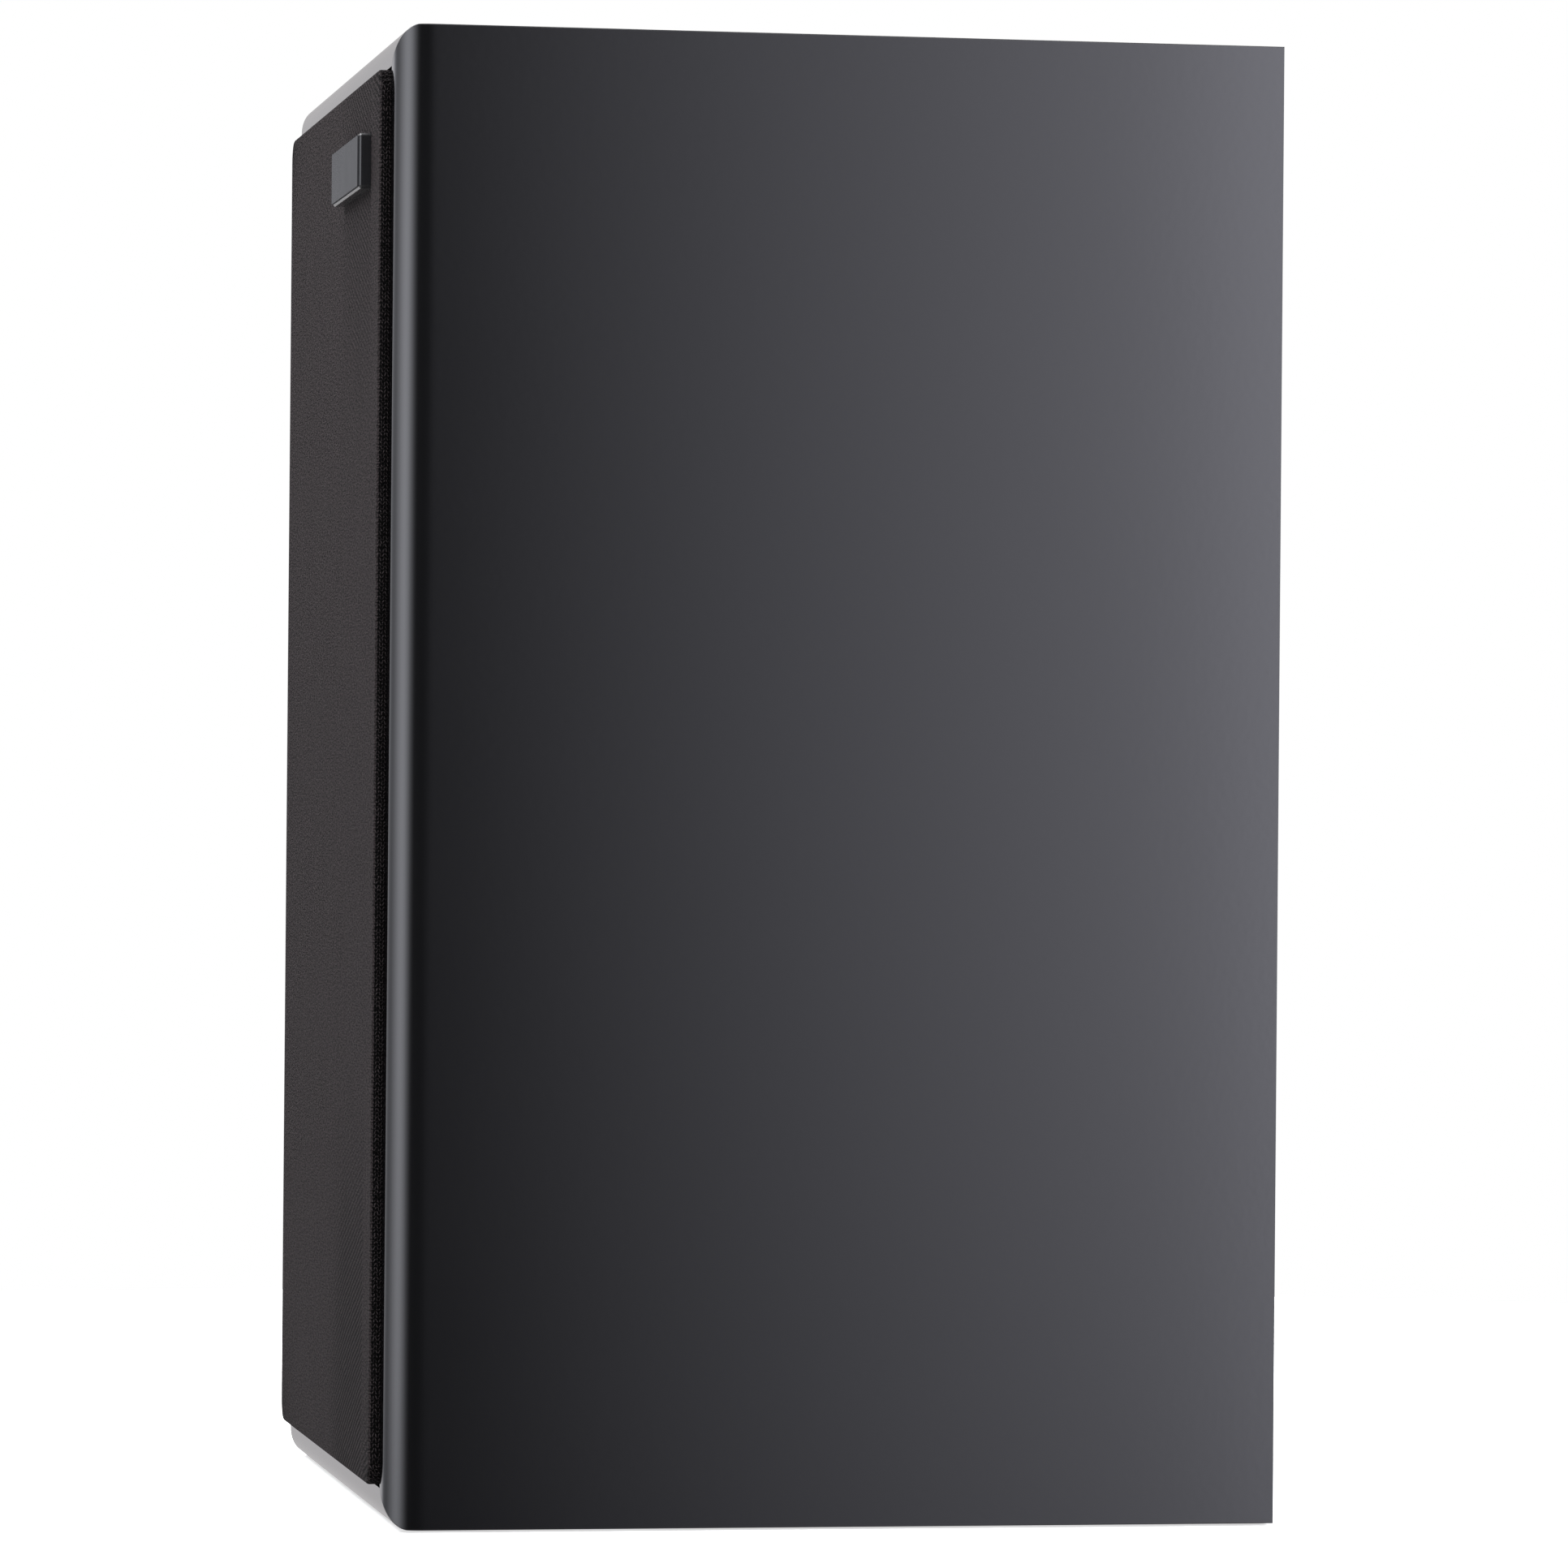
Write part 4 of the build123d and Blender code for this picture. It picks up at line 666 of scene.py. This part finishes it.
# --- grille
@dataclass
class Grille:
    """The frame with its stretched jersey and the bare badge."""

    knit: Knit = field(default_factory=Knit)
    frame_border: float = 12.5 * MM
    corner_radius: float = 5.0 * MM
    edge_radius: float = 0.8 * MM
    thickness: float = 0.6 * MM
    corner_steps: int = 48
    columns: int = 60
    rows: int = 96
    pucker_depth: float = 0.3 * MM
    pucker_count: float = 6.0
    wall_rings: int = 10
    edge_rings: int = 9
    inner_rings: int = 5
    plastic: Finish = Finish(
        "grille_frame_plastic", (0.012, 0.012, 0.012), 0.5, pitch=0.5, depth=0.015
    )
    rubber: Finish = Finish("socket_rubber", (0.015, 0.015, 0.015), 0.8, pitch=0.3, depth=0.01)
    badge_body: Finish = Finish(
        "badge_body_gloss", (0.008, 0.008, 0.0085), 0.26, pitch=2.0, depth=0.004
    )
    badge_face: Finish = Finish(
        "badge_face_graphite", (0.034, 0.0345, 0.0365), 0.45, specular=0.02, grain=Grain.BRUSHED,
        pitch=0.22, depth=0.006
    )

    def outline(self, half_width: float, low: float, high: float) -> tuple[np.ndarray, np.ndarray]:
        """Points and outward directions round the flat part of the face.

        Args:
            half_width: Half the cloth's width, measured over its sides.
            low: Its lowest edge.
            high: Its highest edge.

        Returns:
            The (x, z) points, and their outward unit directions.
        """
        radius = self.corner_radius - self.edge_radius
        inset = self.corner_radius
        x, bottom, top = half_width - inset, low + inset, high - inset
        corners = [(x, bottom), (x, top), (-x, top), (-x, bottom)]
        points, outward = [], []
        for i, corner in enumerate(corners):
            turns = np.radians(-90.0 + 90.0 * i + np.linspace(0.0, 90.0, self.corner_steps + 1))
            arc = np.column_stack([np.cos(turns), np.sin(turns)])
            steps = self.rows if i % 2 == 0 else self.columns
            along = np.linspace(0.0, 1.0, steps + 1)[1:-1, None]
            side = corner + (np.array(corners[(i + 1) % 4]) - corner) * along + radius * arc[-1]
            points += [corner + radius * arc, side]
            outward += [arc, np.repeat(arc[-1:], len(side), axis=0)]
        return np.vstack(points), np.vstack(outward)

    def rim(self, depth: float) -> list[tuple[float, float, float]]:
        """Profile of the cloth from the hem, round the edge and in to the corners' centres.

        Args:
            depth: Distance from the face back to the hem.

        Returns:
            Reach on the flat cloth, distance outwards and distance back, for each ring.
        """
        radius = self.edge_radius
        arc, wall = radius * math.pi / 2, depth - radius
        steps = np.linspace(1.0, 0.0, self.wall_rings)
        rings = [(arc + wall * t, radius, radius + wall * t) for t in steps]
        for t in np.linspace(1.0, 0.0, self.edge_rings)[1:]:
            out, back = math.sin(t * math.pi / 2), 1 - math.cos(t * math.pi / 2)
            rings.append((arc * t, radius * out, radius * back))
        inner = self.corner_radius - radius
        steps = np.linspace(0.0, 1.0, self.inner_rings)[1:]
        return rings + [(-inner * t, -inner * t, 0.0) for t in steps]

    def cloth_mesh(self) -> bpy.types.Mesh:
        """The jersey as one surface from hem to hem, with the map of its flat cut."""
        low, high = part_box("grille_cloth")
        edge, outward = self.outline(high.x, low.z, high.z)
        count = len(edge)
        corner = np.abs(outward[:, 0] * outward[:, 1]) * 2.0
        turn = np.unwrap(np.arctan2(outward[:, 1], outward[:, 0]))
        pleat = corner * (0.5 - 0.5 * np.cos(turn * 4.0 * self.pucker_count))
        rings, maps = [], []
        for reach, out, back in self.rim(high.y - low.y):
            sunk = self.pucker_depth * min(1.0, back / self.edge_radius) * pleat
            ring = edge + outward * (out - sunk)[:, None]
            rings.append(np.column_stack([ring[:, 0], np.full(count, low.y + back), ring[:, 1]]))
            maps.append(edge + outward * reach)
        faces = [
            (a + i, b + i, b + (i + 1) % count, a + (i + 1) % count)
            for a, b in ((r * count, (r + 1) * count) for r in range(len(rings) - 1))
            for i in range(count)
        ]
        x = np.linspace(-1.0, 1.0, self.columns + 1) * (high.x - self.corner_radius)
        z = np.linspace(low.z + self.corner_radius, high.z - self.corner_radius, self.rows + 1)
        across, up = (grid.ravel() for grid in np.meshgrid(x, z))
        start, row = len(rings) * count, self.columns + 1
        faces += [
            (a + c, a + c + 1, b + c + 1, b + c)
            for a, b in ((start + r * row, start + (r + 1) * row) for r in range(self.rows))
            for c in range(self.columns)
        ]
        rings.append(np.column_stack([across, np.full(len(across), low.y), up]))
        maps.append(np.column_stack([across, up]))
        mesh = mesh_from("grille_jersey", np.vstack(rings), faces)
        flat = np.vstack(maps)
        index = np.zeros(len(mesh.loops), np.int64)
        mesh.loops.foreach_get("vertex_index", index)
        mesh.uv_layers.new(name="flat").data.foreach_set("uv", flat[index].ravel())
        return mesh

    def build(self) -> None:
        """Make the cloth, and dress the frame, the sockets and the badge."""
        low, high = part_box("grille_cloth")
        jersey = self.knit.material(low, high, self.frame_border)
        cloth = piece("grille_jersey", self.cloth_mesh(), jersey)
        merge_and_thicken(cloth, self.thickness)
        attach(cloth, "grille")
        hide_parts("grille_cloth")
        self.plastic.dress("grille_frame")
        self.rubber.dress("grille_sockets")
        self.badge_body.dress("badge_base")
        self.badge_face.dress("badge_plate")


def merge_and_thicken(cloth: bpy.types.Object, thickness: float) -> None:
    """Close a sheet's seams and give it a wall inwards.

    Args:
        cloth: The sheet, facing outwards once its doubles are merged.
        thickness: The wall.
    """
    touching = 0.001 * MM
    bm = bmesh.new()
    bm.from_mesh(cloth.data)
    bmesh.ops.remove_doubles(bm, verts=bm.verts, dist=touching)
    bmesh.ops.dissolve_degenerate(bm, edges=bm.edges, dist=touching)
    bmesh.ops.recalc_face_normals(bm, faces=bm.faces)
    if sum(f.normal.y * f.calc_area() for f in bm.faces) > 0.0:
        bmesh.ops.reverse_faces(bm, faces=bm.faces)
    bm.to_mesh(cloth.data)
    bm.free()
    wall = cloth.modifiers.new("wall", "SOLIDIFY")
    wall.thickness = thickness
    wall.offset = -1.0


# --- drive units
@dataclass
class Woofer:
    """The bass unit behind the cloth."""

    centre: Span = (0.0, 88.0 * MM)

    def build(self) -> None:
        """Dress every node of the bass unit."""
        centre = self.centre
        Finish(
            "basket_paint", (0.018, 0.018, 0.019), 0.45, 0.0, Grain.CAST, 0.5, 0.03
        ).dress("woofer_basket")
        Finish(
            "cone_polymer", (0.09, 0.092, 0.095), 0.38, 0.0, Grain.TURNED, 2.4, 0.02, centre=centre
        ).dress("woofer_cone")
        Finish(
            "cap_polymer", (0.03, 0.03, 0.032), 0.3, 0.0, Grain.TURNED, 1.5, 0.01, centre=centre
        ).dress("woofer_dust_cap")
        Finish(
            "surround_rubber", (0.014, 0.014, 0.014), 0.6, 0.0, Grain.TURNED, 0.9, 0.01,
            centre=centre
        ).dress("woofer_surround")
        Finish(
            "spider_cloth", (0.32, 0.2, 0.06), 0.85, 0.0, Grain.WOVEN, 0.8, 0.05
        ).dress("woofer_spider")
        Finish(
            "former_aluminium", (0.7, 0.7, 0.72), 0.35, 1.0, Grain.BRUSHED
        ).dress("woofer_coil_former")
        Finish(
            "coil_copper", (0.72, 0.3, 0.14), 0.35, 1.0, Grain.THREADED, 0.3, 0.04
        ).dress("woofer_voice_coil", "tweeter_voice_coil")
        Finish(
            "zinc_steel", (0.55, 0.55, 0.53), 0.35, 1.0, Grain.TURNED, 0.4, 0.01, centre=centre
        ).dress("woofer_top_plate", "woofer_back_plate", "tweeter_pole_plate", "tweeter_pot")
        Finish(
            "ferrite", (0.045, 0.045, 0.047), 0.7, 0.0, Grain.CAST, 1.0, 0.05
        ).dress("woofer_magnet")
        Finish(
            "tag_brass", (0.75, 0.55, 0.25), 0.35, 1.0, Grain.BRUSHED
        ).dress("woofer_tags", "tweeter_tags")


@dataclass
class Tweeter:
    """The treble unit behind the cloth."""

    def build(self) -> None:
        """Dress every node of the treble unit."""
        Finish(
            "faceplate_plastic", (0.014, 0.014, 0.015), 0.5, pitch=0.35, depth=0.02
        ).dress("tweeter_faceplate")
        Finish(
            "guard_steel", (0.03, 0.03, 0.031), 0.42, 0.4, Grain.CAST, 0.4, 0.01
        ).dress("tweeter_guard")
        Finish(
            "dome_fabric", (0.02, 0.02, 0.021), 0.55, 0.0, Grain.WOVEN, 0.35, 0.03
        ).dress("tweeter_dome", "tweeter_surround")
        Finish(
            "magnet_nickel", (0.6, 0.6, 0.58), 0.25, 1.0, Grain.CAST, 0.8, 0.004
        ).dress("tweeter_magnet")


# --- terminals
@dataclass
class Terminals:
    """The rear plate with its two binding posts."""

    plate: Finish = Finish(
        "terminal_plate_plastic", (0.014, 0.014, 0.015), 0.42, pitch=0.5, depth=0.02
    )
    gold: Finish = Finish(
        "gold_plated_brass", (0.93, 0.66, 0.28), 0.22, 1.0, Grain.THREADED, 1.0, 0.05, 0.05
    )
    washer: Finish = Finish(
        "gold_washer", (0.93, 0.66, 0.28), 0.25, 1.0, Grain.CAST, 0.6, 0.005, 0.05
    )

    def build(self) -> None:
        """Dress every node of the terminals."""
        self.plate.dress("terminal_plate")
        self.gold.dress("red_post", "black_post")
        self.washer.dress("red_collar", "black_collar", "post_nuts")
        for name, colour in (("red", (0.42, 0.012, 0.012)), ("black", (0.012, 0.012, 0.013))):
            coat = Finish(f"{name}_knob_plastic", colour, 0.28, pitch=1.5, depth=0.004, coat=0.3)
            coat.dress(f"{name}_knob")


# --- screws
@dataclass(frozen=True)
class ScrewSet:
    """Identical pan-head wood screws with a cross recess, in a grid of columns and rows."""

    node: str
    columns: int
    rows: int
    head_radius: float
    shank_radius: float
    outward: int
    seed: int
    head_height: float = 1.8 * MM
    crown: float = 0.2
    shoulder: float = 0.16
    recess: float = 0.56
    arm: float = 0.17
    recess_depth: float = 1.6
    recess_lift: float = 1.1
    recess_taper: float = 0.45
    thread_pitch: float = 1.6 * MM
    thread_depth: float = 0.3
    point: Span = (1.02, 0.84)
    sides: int = 40

    def head(self, recipe: Recipe) -> bpy.types.NodeSocket:
        """A domed head with its cross recess, standing on z = 0."""
        radius, height = recipe.given("head_radius"), recipe.given("head_height")
        fill = {"fill_type": "TRIANGLE_FAN"}
        counts = {"Vertices": self.sides, "Side Segments": 6, "Fill Segments": 5}
        drum = recipe.node("MeshCylinder", fill, {**counts, "Radius": radius, "Depth": height})
        x, y, z = recipe.place()
        rise = z / height + 0.5
        out = (x * x + y * y).root() / radius
        narrow = 1.0 - rise * rise * rise * self.shoulder
        top = rise * height * (1.0 - out * out * self.crown)
        body = recipe.moulded(drum.outputs["Mesh"], x * narrow, y * narrow, top)
        long, thin = radius * (2.0 * self.recess), radius * (2.0 * self.arm)
        depth = height * self.recess_depth
        arms = []
        for size in ((long, thin), (thin, long)):
            slab = recipe.node("MeshCube", inputs={"Size": recipe.join(*size, depth)})
            wide = (z / depth + 0.5) * self.recess_taper + (1.0 - self.recess_taper)
            lifted = z + height * self.recess_lift
            arms.append(recipe.moulded(slab.outputs["Mesh"], x * wide, y * wide, lifted))
        cut = recipe.node("MeshBoolean", {"operation": "DIFFERENCE", "solver": "EXACT"})
        recipe.feed(cut.inputs["Mesh 1"], body)
        for arm in arms:
            recipe.feed(cut.inputs["Mesh 2"], arm)
        return cut.outputs["Mesh"]

    def shank(self, recipe: Recipe) -> bpy.types.NodeSocket:
        """A threaded shank that runs from z = 0 down to its point."""
        radius, length = recipe.given("shank_radius"), recipe.given("length")
        counts = {"Vertices": 16, "Side Segments": 64}
        rod = recipe.node("MeshCylinder", {}, {**counts, "Radius": radius, "Depth": length})
        x, y, z = recipe.place()
        along = 0.5 - z / length
        ridge = ((z / self.thread_pitch + y.angle(x)).fraction() - 0.5).size() * 2.0
        thick = ridge * self.thread_depth + (1.0 - self.thread_depth)
        thick = thick * along.ramp(*self.point)
        return recipe.moulded(rod.outputs["Mesh"], x * thick, y * thick, z - length * 0.5)

    def build(self, material: bpy.types.Material) -> None:
        """Make the screws in place of their CAD node.

        Args:
            material: The screws' finish.
        """
        low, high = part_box(self.node)
        spread = [high[i] - low[i] - 2 * self.head_radius for i in (0, 2)]
        recipe = Recipe(
            self.node + "_recipe",
            columns=self.columns,
            rows=self.rows,
            width=spread[0],
            height=spread[1],
            head_radius=self.head_radius,
            head_height=self.head_height,
            shank_radius=self.shank_radius,
            length=high[1] - low[1] - self.head_height,
            seed=self.seed,
            finish=material,
        )
        names = {"Vertices X": "columns", "Vertices Y": "rows", "Size X": "width"}
        names["Size Y"] = "height"
        grid = recipe.node("MeshGrid", inputs={k: recipe.given(v) for k, v in names.items()})
        screw = recipe.node("JoinGeometry")
        for part in (self.head(recipe), self.shank(recipe)):
            recipe.feed(screw.inputs[0], part)
        seed = {"Seed": recipe.given("seed")}
        chance = recipe.node("FunctionNodeRandomValue", {"data_type": "FLOAT"}, seed)
        turn = next(o for o in chance.outputs if o.enabled and o.type == "VALUE")
        angle = recipe.join(0.0, 0.0, Field(recipe.tree, turn) * math.pi)
        spin = recipe.node("FunctionNodeEulerToRotation", inputs={0: angle})
        sources = {"Points": grid.outputs["Mesh"], "Instance": screw.outputs[0]}
        sources["Rotation"] = spin.outputs[0]
        copies = recipe.node("InstanceOnPoints", inputs=sources)
        solid = recipe.node("RealizeInstances", inputs={0: copies.outputs[0]})
        coat = {0: solid.outputs[0], "Material": recipe.given("finish")}
        done = recipe.node("SetMaterial", inputs=coat)
        seat = high[1] - self.head_height if self.outward > 0 else low[1] + self.head_height
        middle = Vector(((low[0] + high[0]) / 2, seat, (low[2] + high[2]) / 2))
        upright = Matrix.Rotation(math.radians(-90.0 * self.outward), 4, "X")
        mesh = recipe.bake(done.outputs[0], Matrix.Translation(middle) @ upright)
        mesh.shade_smooth()
        mesh.set_sharp_from_angle(angle=math.radians(35.0))
        made = piece(self.node.replace("screws", "pan_screws"), mesh, material)
        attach(made, "cabinet")
        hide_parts(self.node)


@dataclass
class Screws:
    """Every screw that shows with the grille off or from behind."""

    finish: Finish = Finish(
        "screw_black_zinc", (0.05, 0.05, 0.052), 0.36, 0.85, Grain.CAST, 0.25, 0.006
    )
    sets: tuple[ScrewSet, ...] = (
        ScrewSet("rear_panel_screws", 2, 3, 3.8 * MM, 1.9 * MM, 1, 3),
        ScrewSet("terminal_plate_screws", 2, 2, 2.9 * MM, 1.5 * MM, 1, 5),
        ScrewSet("woofer_screws", 2, 2, 3.8 * MM, 1.9 * MM, -1, 7),
        ScrewSet("tweeter_screws", 2, 2, 2.9 * MM, 1.5 * MM, -1, 11),
    )

    def build(self) -> None:
        """Make all the sets."""
        material = self.finish.material()
        for screws in self.sets:
            screws.build(material)


# --- crossover
@dataclass
class Crossover:
    """The filter board, its parts and the leads."""

    def build(self) -> None:
        """Dress every node of the crossover."""
        Finish(
            "board_laminate", (0.035, 0.14, 0.05), 0.45, 0.0, Grain.WOVEN, 0.9, 0.01
        ).dress("crossover_board")
        Finish("standoff_nylon", (0.75, 0.74, 0.7), 0.45).dress("crossover_standoffs")
        Finish(
            "inductor_wire", (0.62, 0.22, 0.1), 0.3, 1.0, Grain.THREADED, 0.9, 0.25
        ).dress("inductors")
        Finish("capacitor_film", (0.55, 0.5, 0.12), 0.35, coat=0.2).dress("capacitors")
        Finish(
            "resistor_cement", (0.72, 0.71, 0.68), 0.85, 0.0, Grain.CAST, 0.7, 0.05
        ).dress("resistors")
        Finish(
            "lead_pvc", (0.03, 0.03, 0.03), 0.5
        ).dress("woofer_lead", "tweeter_lead", "input_wires")


# --- studio
@dataclass(frozen=True)
class Softbox:
    """A rectangular lamp that faces the middle of the object, in degrees as seen from there.

    The azimuth is counted from +X towards -Y, and the radiance is what a mirror shows of it.
    """

    azimuth: float
    elevation: float
    width: float
    height: float
    radiance: float
    distance: float = 1.6
    colour: Colour = (0.95, 0.96, 1.0)


@dataclass(frozen=True)
class Glow:
    """A soft patch of light on the room's walls, its azimuth counted from +X towards -Y."""

    azimuth: float
    spread: float
    radiance: float


@dataclass(frozen=True)
class Room:
    """What the object mirrors: a pale far side, a wall that brightens, and glows in front.

    Angles are in degrees; the wall's are turned from +X towards +Y.
    """

    far_side: float = 0.6
    far_tilt: float = 0.15
    far_colour: Colour = (1.0, 0.975, 0.99)
    start: float = 6.65
    climb: float = 2.5
    slope: float = 0.43
    bend: float = 12.95
    steeper: float = 2.9
    most: float = 4.6
    end: Span = (32.0, 44.0)
    reach: Span = (0.32, 0.46)
    wall_colour: Colour = (0.885, 0.885, 1.0)
    glows: tuple[Glow, ...] = (Glow(70.5, 40.0, 4.65), Glow(150.0, 18.0, 0.8))
    glow_core: Span = (0.08, 0.24)
    glow_halo: float = 0.25
    glow_reach: Span = (0.35, 0.6)
    glow_colour: Colour = (0.91, 0.925, 1.0)
    horizon: float = 0.12
    dusk: float = 0.08
    least: float = 0.35
    floor_fade: Span = (-0.4, -0.1)
    behind: float = 0.9
    behind_from: Span = (0.45, 0.8)
    overhead: float = 0.9
    overhead_from: Span = (0.35, 0.8)
    underneath: float = 0.8
    underneath_from: Span = (-0.14, -0.3)
    far_from: Span = (-0.75, -0.95)

    def light(self, x: Field, y: Field, z: Field) -> tuple[Field, ...]:
        """Red, green and blue radiance of the room in the direction (x, y, z)."""
        turned = y.angle(x) * 360.0 + z * self.climb
        rise = ((turned - self.start) * self.slope).most(0.0)
        rise = rise + ((turned - self.bend) * self.steeper).most(0.0)
        wall = rise.least(self.most) * turned.ramp(self.end[1], self.end[0])
        wall = wall * z.size().ramp(self.reach[1], self.reach[0])
        facing = (0.0 - y).angle(x) * 360.0
        glow = 0.0
        for patch in self.glows:
            away = (facing - patch.azimuth) / patch.spread
            glow = EULER ** (away * away * -1.0) * patch.radiance + glow
        glow = glow * z.size().ramp(self.glow_reach[1], self.glow_reach[0])
        core = z.size().ramp(self.glow_core[1], self.glow_core[0])
        glow = glow * z.ramp(*self.floor_fade) * (core * (1.0 - self.glow_halo) + self.glow_halo)
        rest = y.ramp(*self.behind_from) * z.ramp(*self.floor_fade) * self.behind
        rest = rest + z.ramp(*self.overhead_from) * self.overhead
        rest = rest + z.ramp(*self.underneath_from) * self.underneath
        far = x.ramp(*self.far_from) * (y * -self.far_tilt + self.far_side)
        level = (1.0 + self.horizon - EULER ** (z / -self.dusk) * self.horizon).most(self.least)
        tints = zip(self.wall_colour, self.glow_colour, self.far_colour)
        return tuple(wall * level * a + glow * level * b + rest + far * c for a, b, c in tints)


@dataclass
class Studio:
    """Camera, lamps, floor and background."""

    eye: tuple[float, float, float] = (1.6155, -0.2716, 0.1442)
    yaw: float = 10.297
    pitch: float = 0.302
    roll: float = 0.473
    lens: float = 173.0
    shift: float = -0.0497
    aim: tuple[float, float, float] = (0.0, 0.0, 0.153)
    floor_radius: float = 0.7
    floor_glow: float = 0.62
    floor_drop: float = 0.5 * MM
    floor_sides: int = 96
    sensor: float = 36.0
    clip: Span = (0.05, 50.0)
    room: Room = Room()
    fills: tuple[Softbox, ...] = (
        Softbox(-17.0, 30.0, 20.0, 16.0, 6.0),
        Softbox(88.0, 50.0, 50.0, 34.0, 9.5, distance=0.8),
        Softbox(60.0, 78.0, 50.0, 50.0, 2.0),
        Softbox(225.0, 25.0, 50.0, 40.0, 2.4),
        Softbox(-85.0, 20.0, 44.0, 44.0, 2.4),
    )

    def camera(self) -> None:
        """Set up the camera."""
        yaw, pitch, roll = (math.radians(a) for a in (self.yaw, self.pitch, self.roll))
        ahead = Vector(
            (-math.cos(pitch) * math.cos(yaw), math.cos(pitch) * math.sin(yaw), math.sin(pitch))
        )
        level = ahead.cross(Vector((0, 0, 1))).normalized()
        rise = level.cross(ahead)
        right = math.cos(roll) * level + math.sin(roll) * rise
        up = math.cos(roll) * rise - math.sin(roll) * level
        data = bpy.data.cameras.new("camera")
        data.sensor_width = self.sensor
        data.lens = self.lens
        data.shift_x = self.shift
        data.clip_start, data.clip_end = self.clip
        made = put("camera", data)
        turn = Matrix((right, up, -ahead)).transposed().to_4x4()
        made.matrix_world = Matrix.Translation(self.eye) @ turn
        bpy.context.scene.camera = made

    def lamp(self, name: str, box: Softbox) -> None:
        """Hang one softbox."""
        azimuth, elevation = math.radians(box.azimuth), math.radians(box.elevation)
        level = math.cos(elevation)
        away = Vector((math.cos(azimuth) * level, -math.sin(azimuth) * level, math.sin(elevation)))
        data = bpy.data.lights.new(name, "AREA")
        data.shape = "RECTANGLE"
        data.size = 2.0 * box.distance * math.tan(math.radians(box.width / 2))
        data.size_y = 2.0 * box.distance * math.tan(math.radians(box.height / 2))
        data.color = box.colour
        data.energy = box.radiance * math.pi * data.size * data.size_y
        made = put(name, data)
        made.location = Vector(self.aim) + away * box.distance
        made.rotation_euler = away.to_track_quat("Z", "Y").to_euler()
        made.visible_camera = False

    def floor(self) -> None:
        """Lay the pale round floor, which shows white to the camera and keeps the shadow."""
        turns = np.linspace(0.0, 2.0 * math.pi, self.floor_sides + 1)[:-1]
        edge = self.floor_radius * np.column_stack([np.cos(turns), np.sin(turns)])
        points = np.column_stack([edge, np.full(len(edge), -self.floor_drop)])
        mesh = mesh_from("floor", points, [tuple(range(len(points)))])
        paper = {"Base_Color": (0.8, 0.8, 0.8), "Emission_Color": (1.0, 1.0, 1.0)}
        paint = Paint("floor_paper", Roughness=0.9, Specular_IOR_Level=0.0, **paper)
        seen = Field(paint.tree, paint.node("LightPath").outputs["Is Camera Ray"])
        paint.drive("Emission Strength", seen * self.floor_glow)
        made = piece("floor", mesh, paint.material)
        made.visible_glossy = made.visible_shadow = False

    def background(self) -> None:
        """White behind everything that the camera sees, and the room for every other ray."""
        world = bpy.data.worlds.new("room")
        bpy.context.scene.world = world
        world.use_nodes = True
        graph = Graph(world.node_tree)
        ground = next(n for n in graph.tree.nodes if n.type == "BACKGROUND")
        seen = Field(graph.tree, graph.node("LightPath").outputs["Is Camera Ray"])
        direction = graph.split(graph.node("TexCoord").outputs["Generated"])
        light = graph.join(*(seen + (1.0 - seen) * part for part in self.room.light(*direction)))
        graph.feed(ground.inputs["Color"], light)

    def build(self) -> None:
        """Make the whole studio."""
        bpy.context.scene.view_settings.view_transform = "Standard"
        self.camera()
        for i, box in enumerate(self.fills):
            self.lamp(f"softbox_{i + 1}", box)
        self.floor()
        self.background()
        log.info("studio with %d softboxes", len(self.fills))


def main() -> None:
    """Build every sub-assembly in order."""
    logging.basicConfig(level=logging.INFO, format="%(name)s: %(message)s")
    Studio().build()
    Cabinet().build()
    Grille().build()
    Woofer().build()
    Tweeter().build()
    Terminals().build()
    Screws().build()
    Crossover().build()


if __name__ == "__main__":
    main()
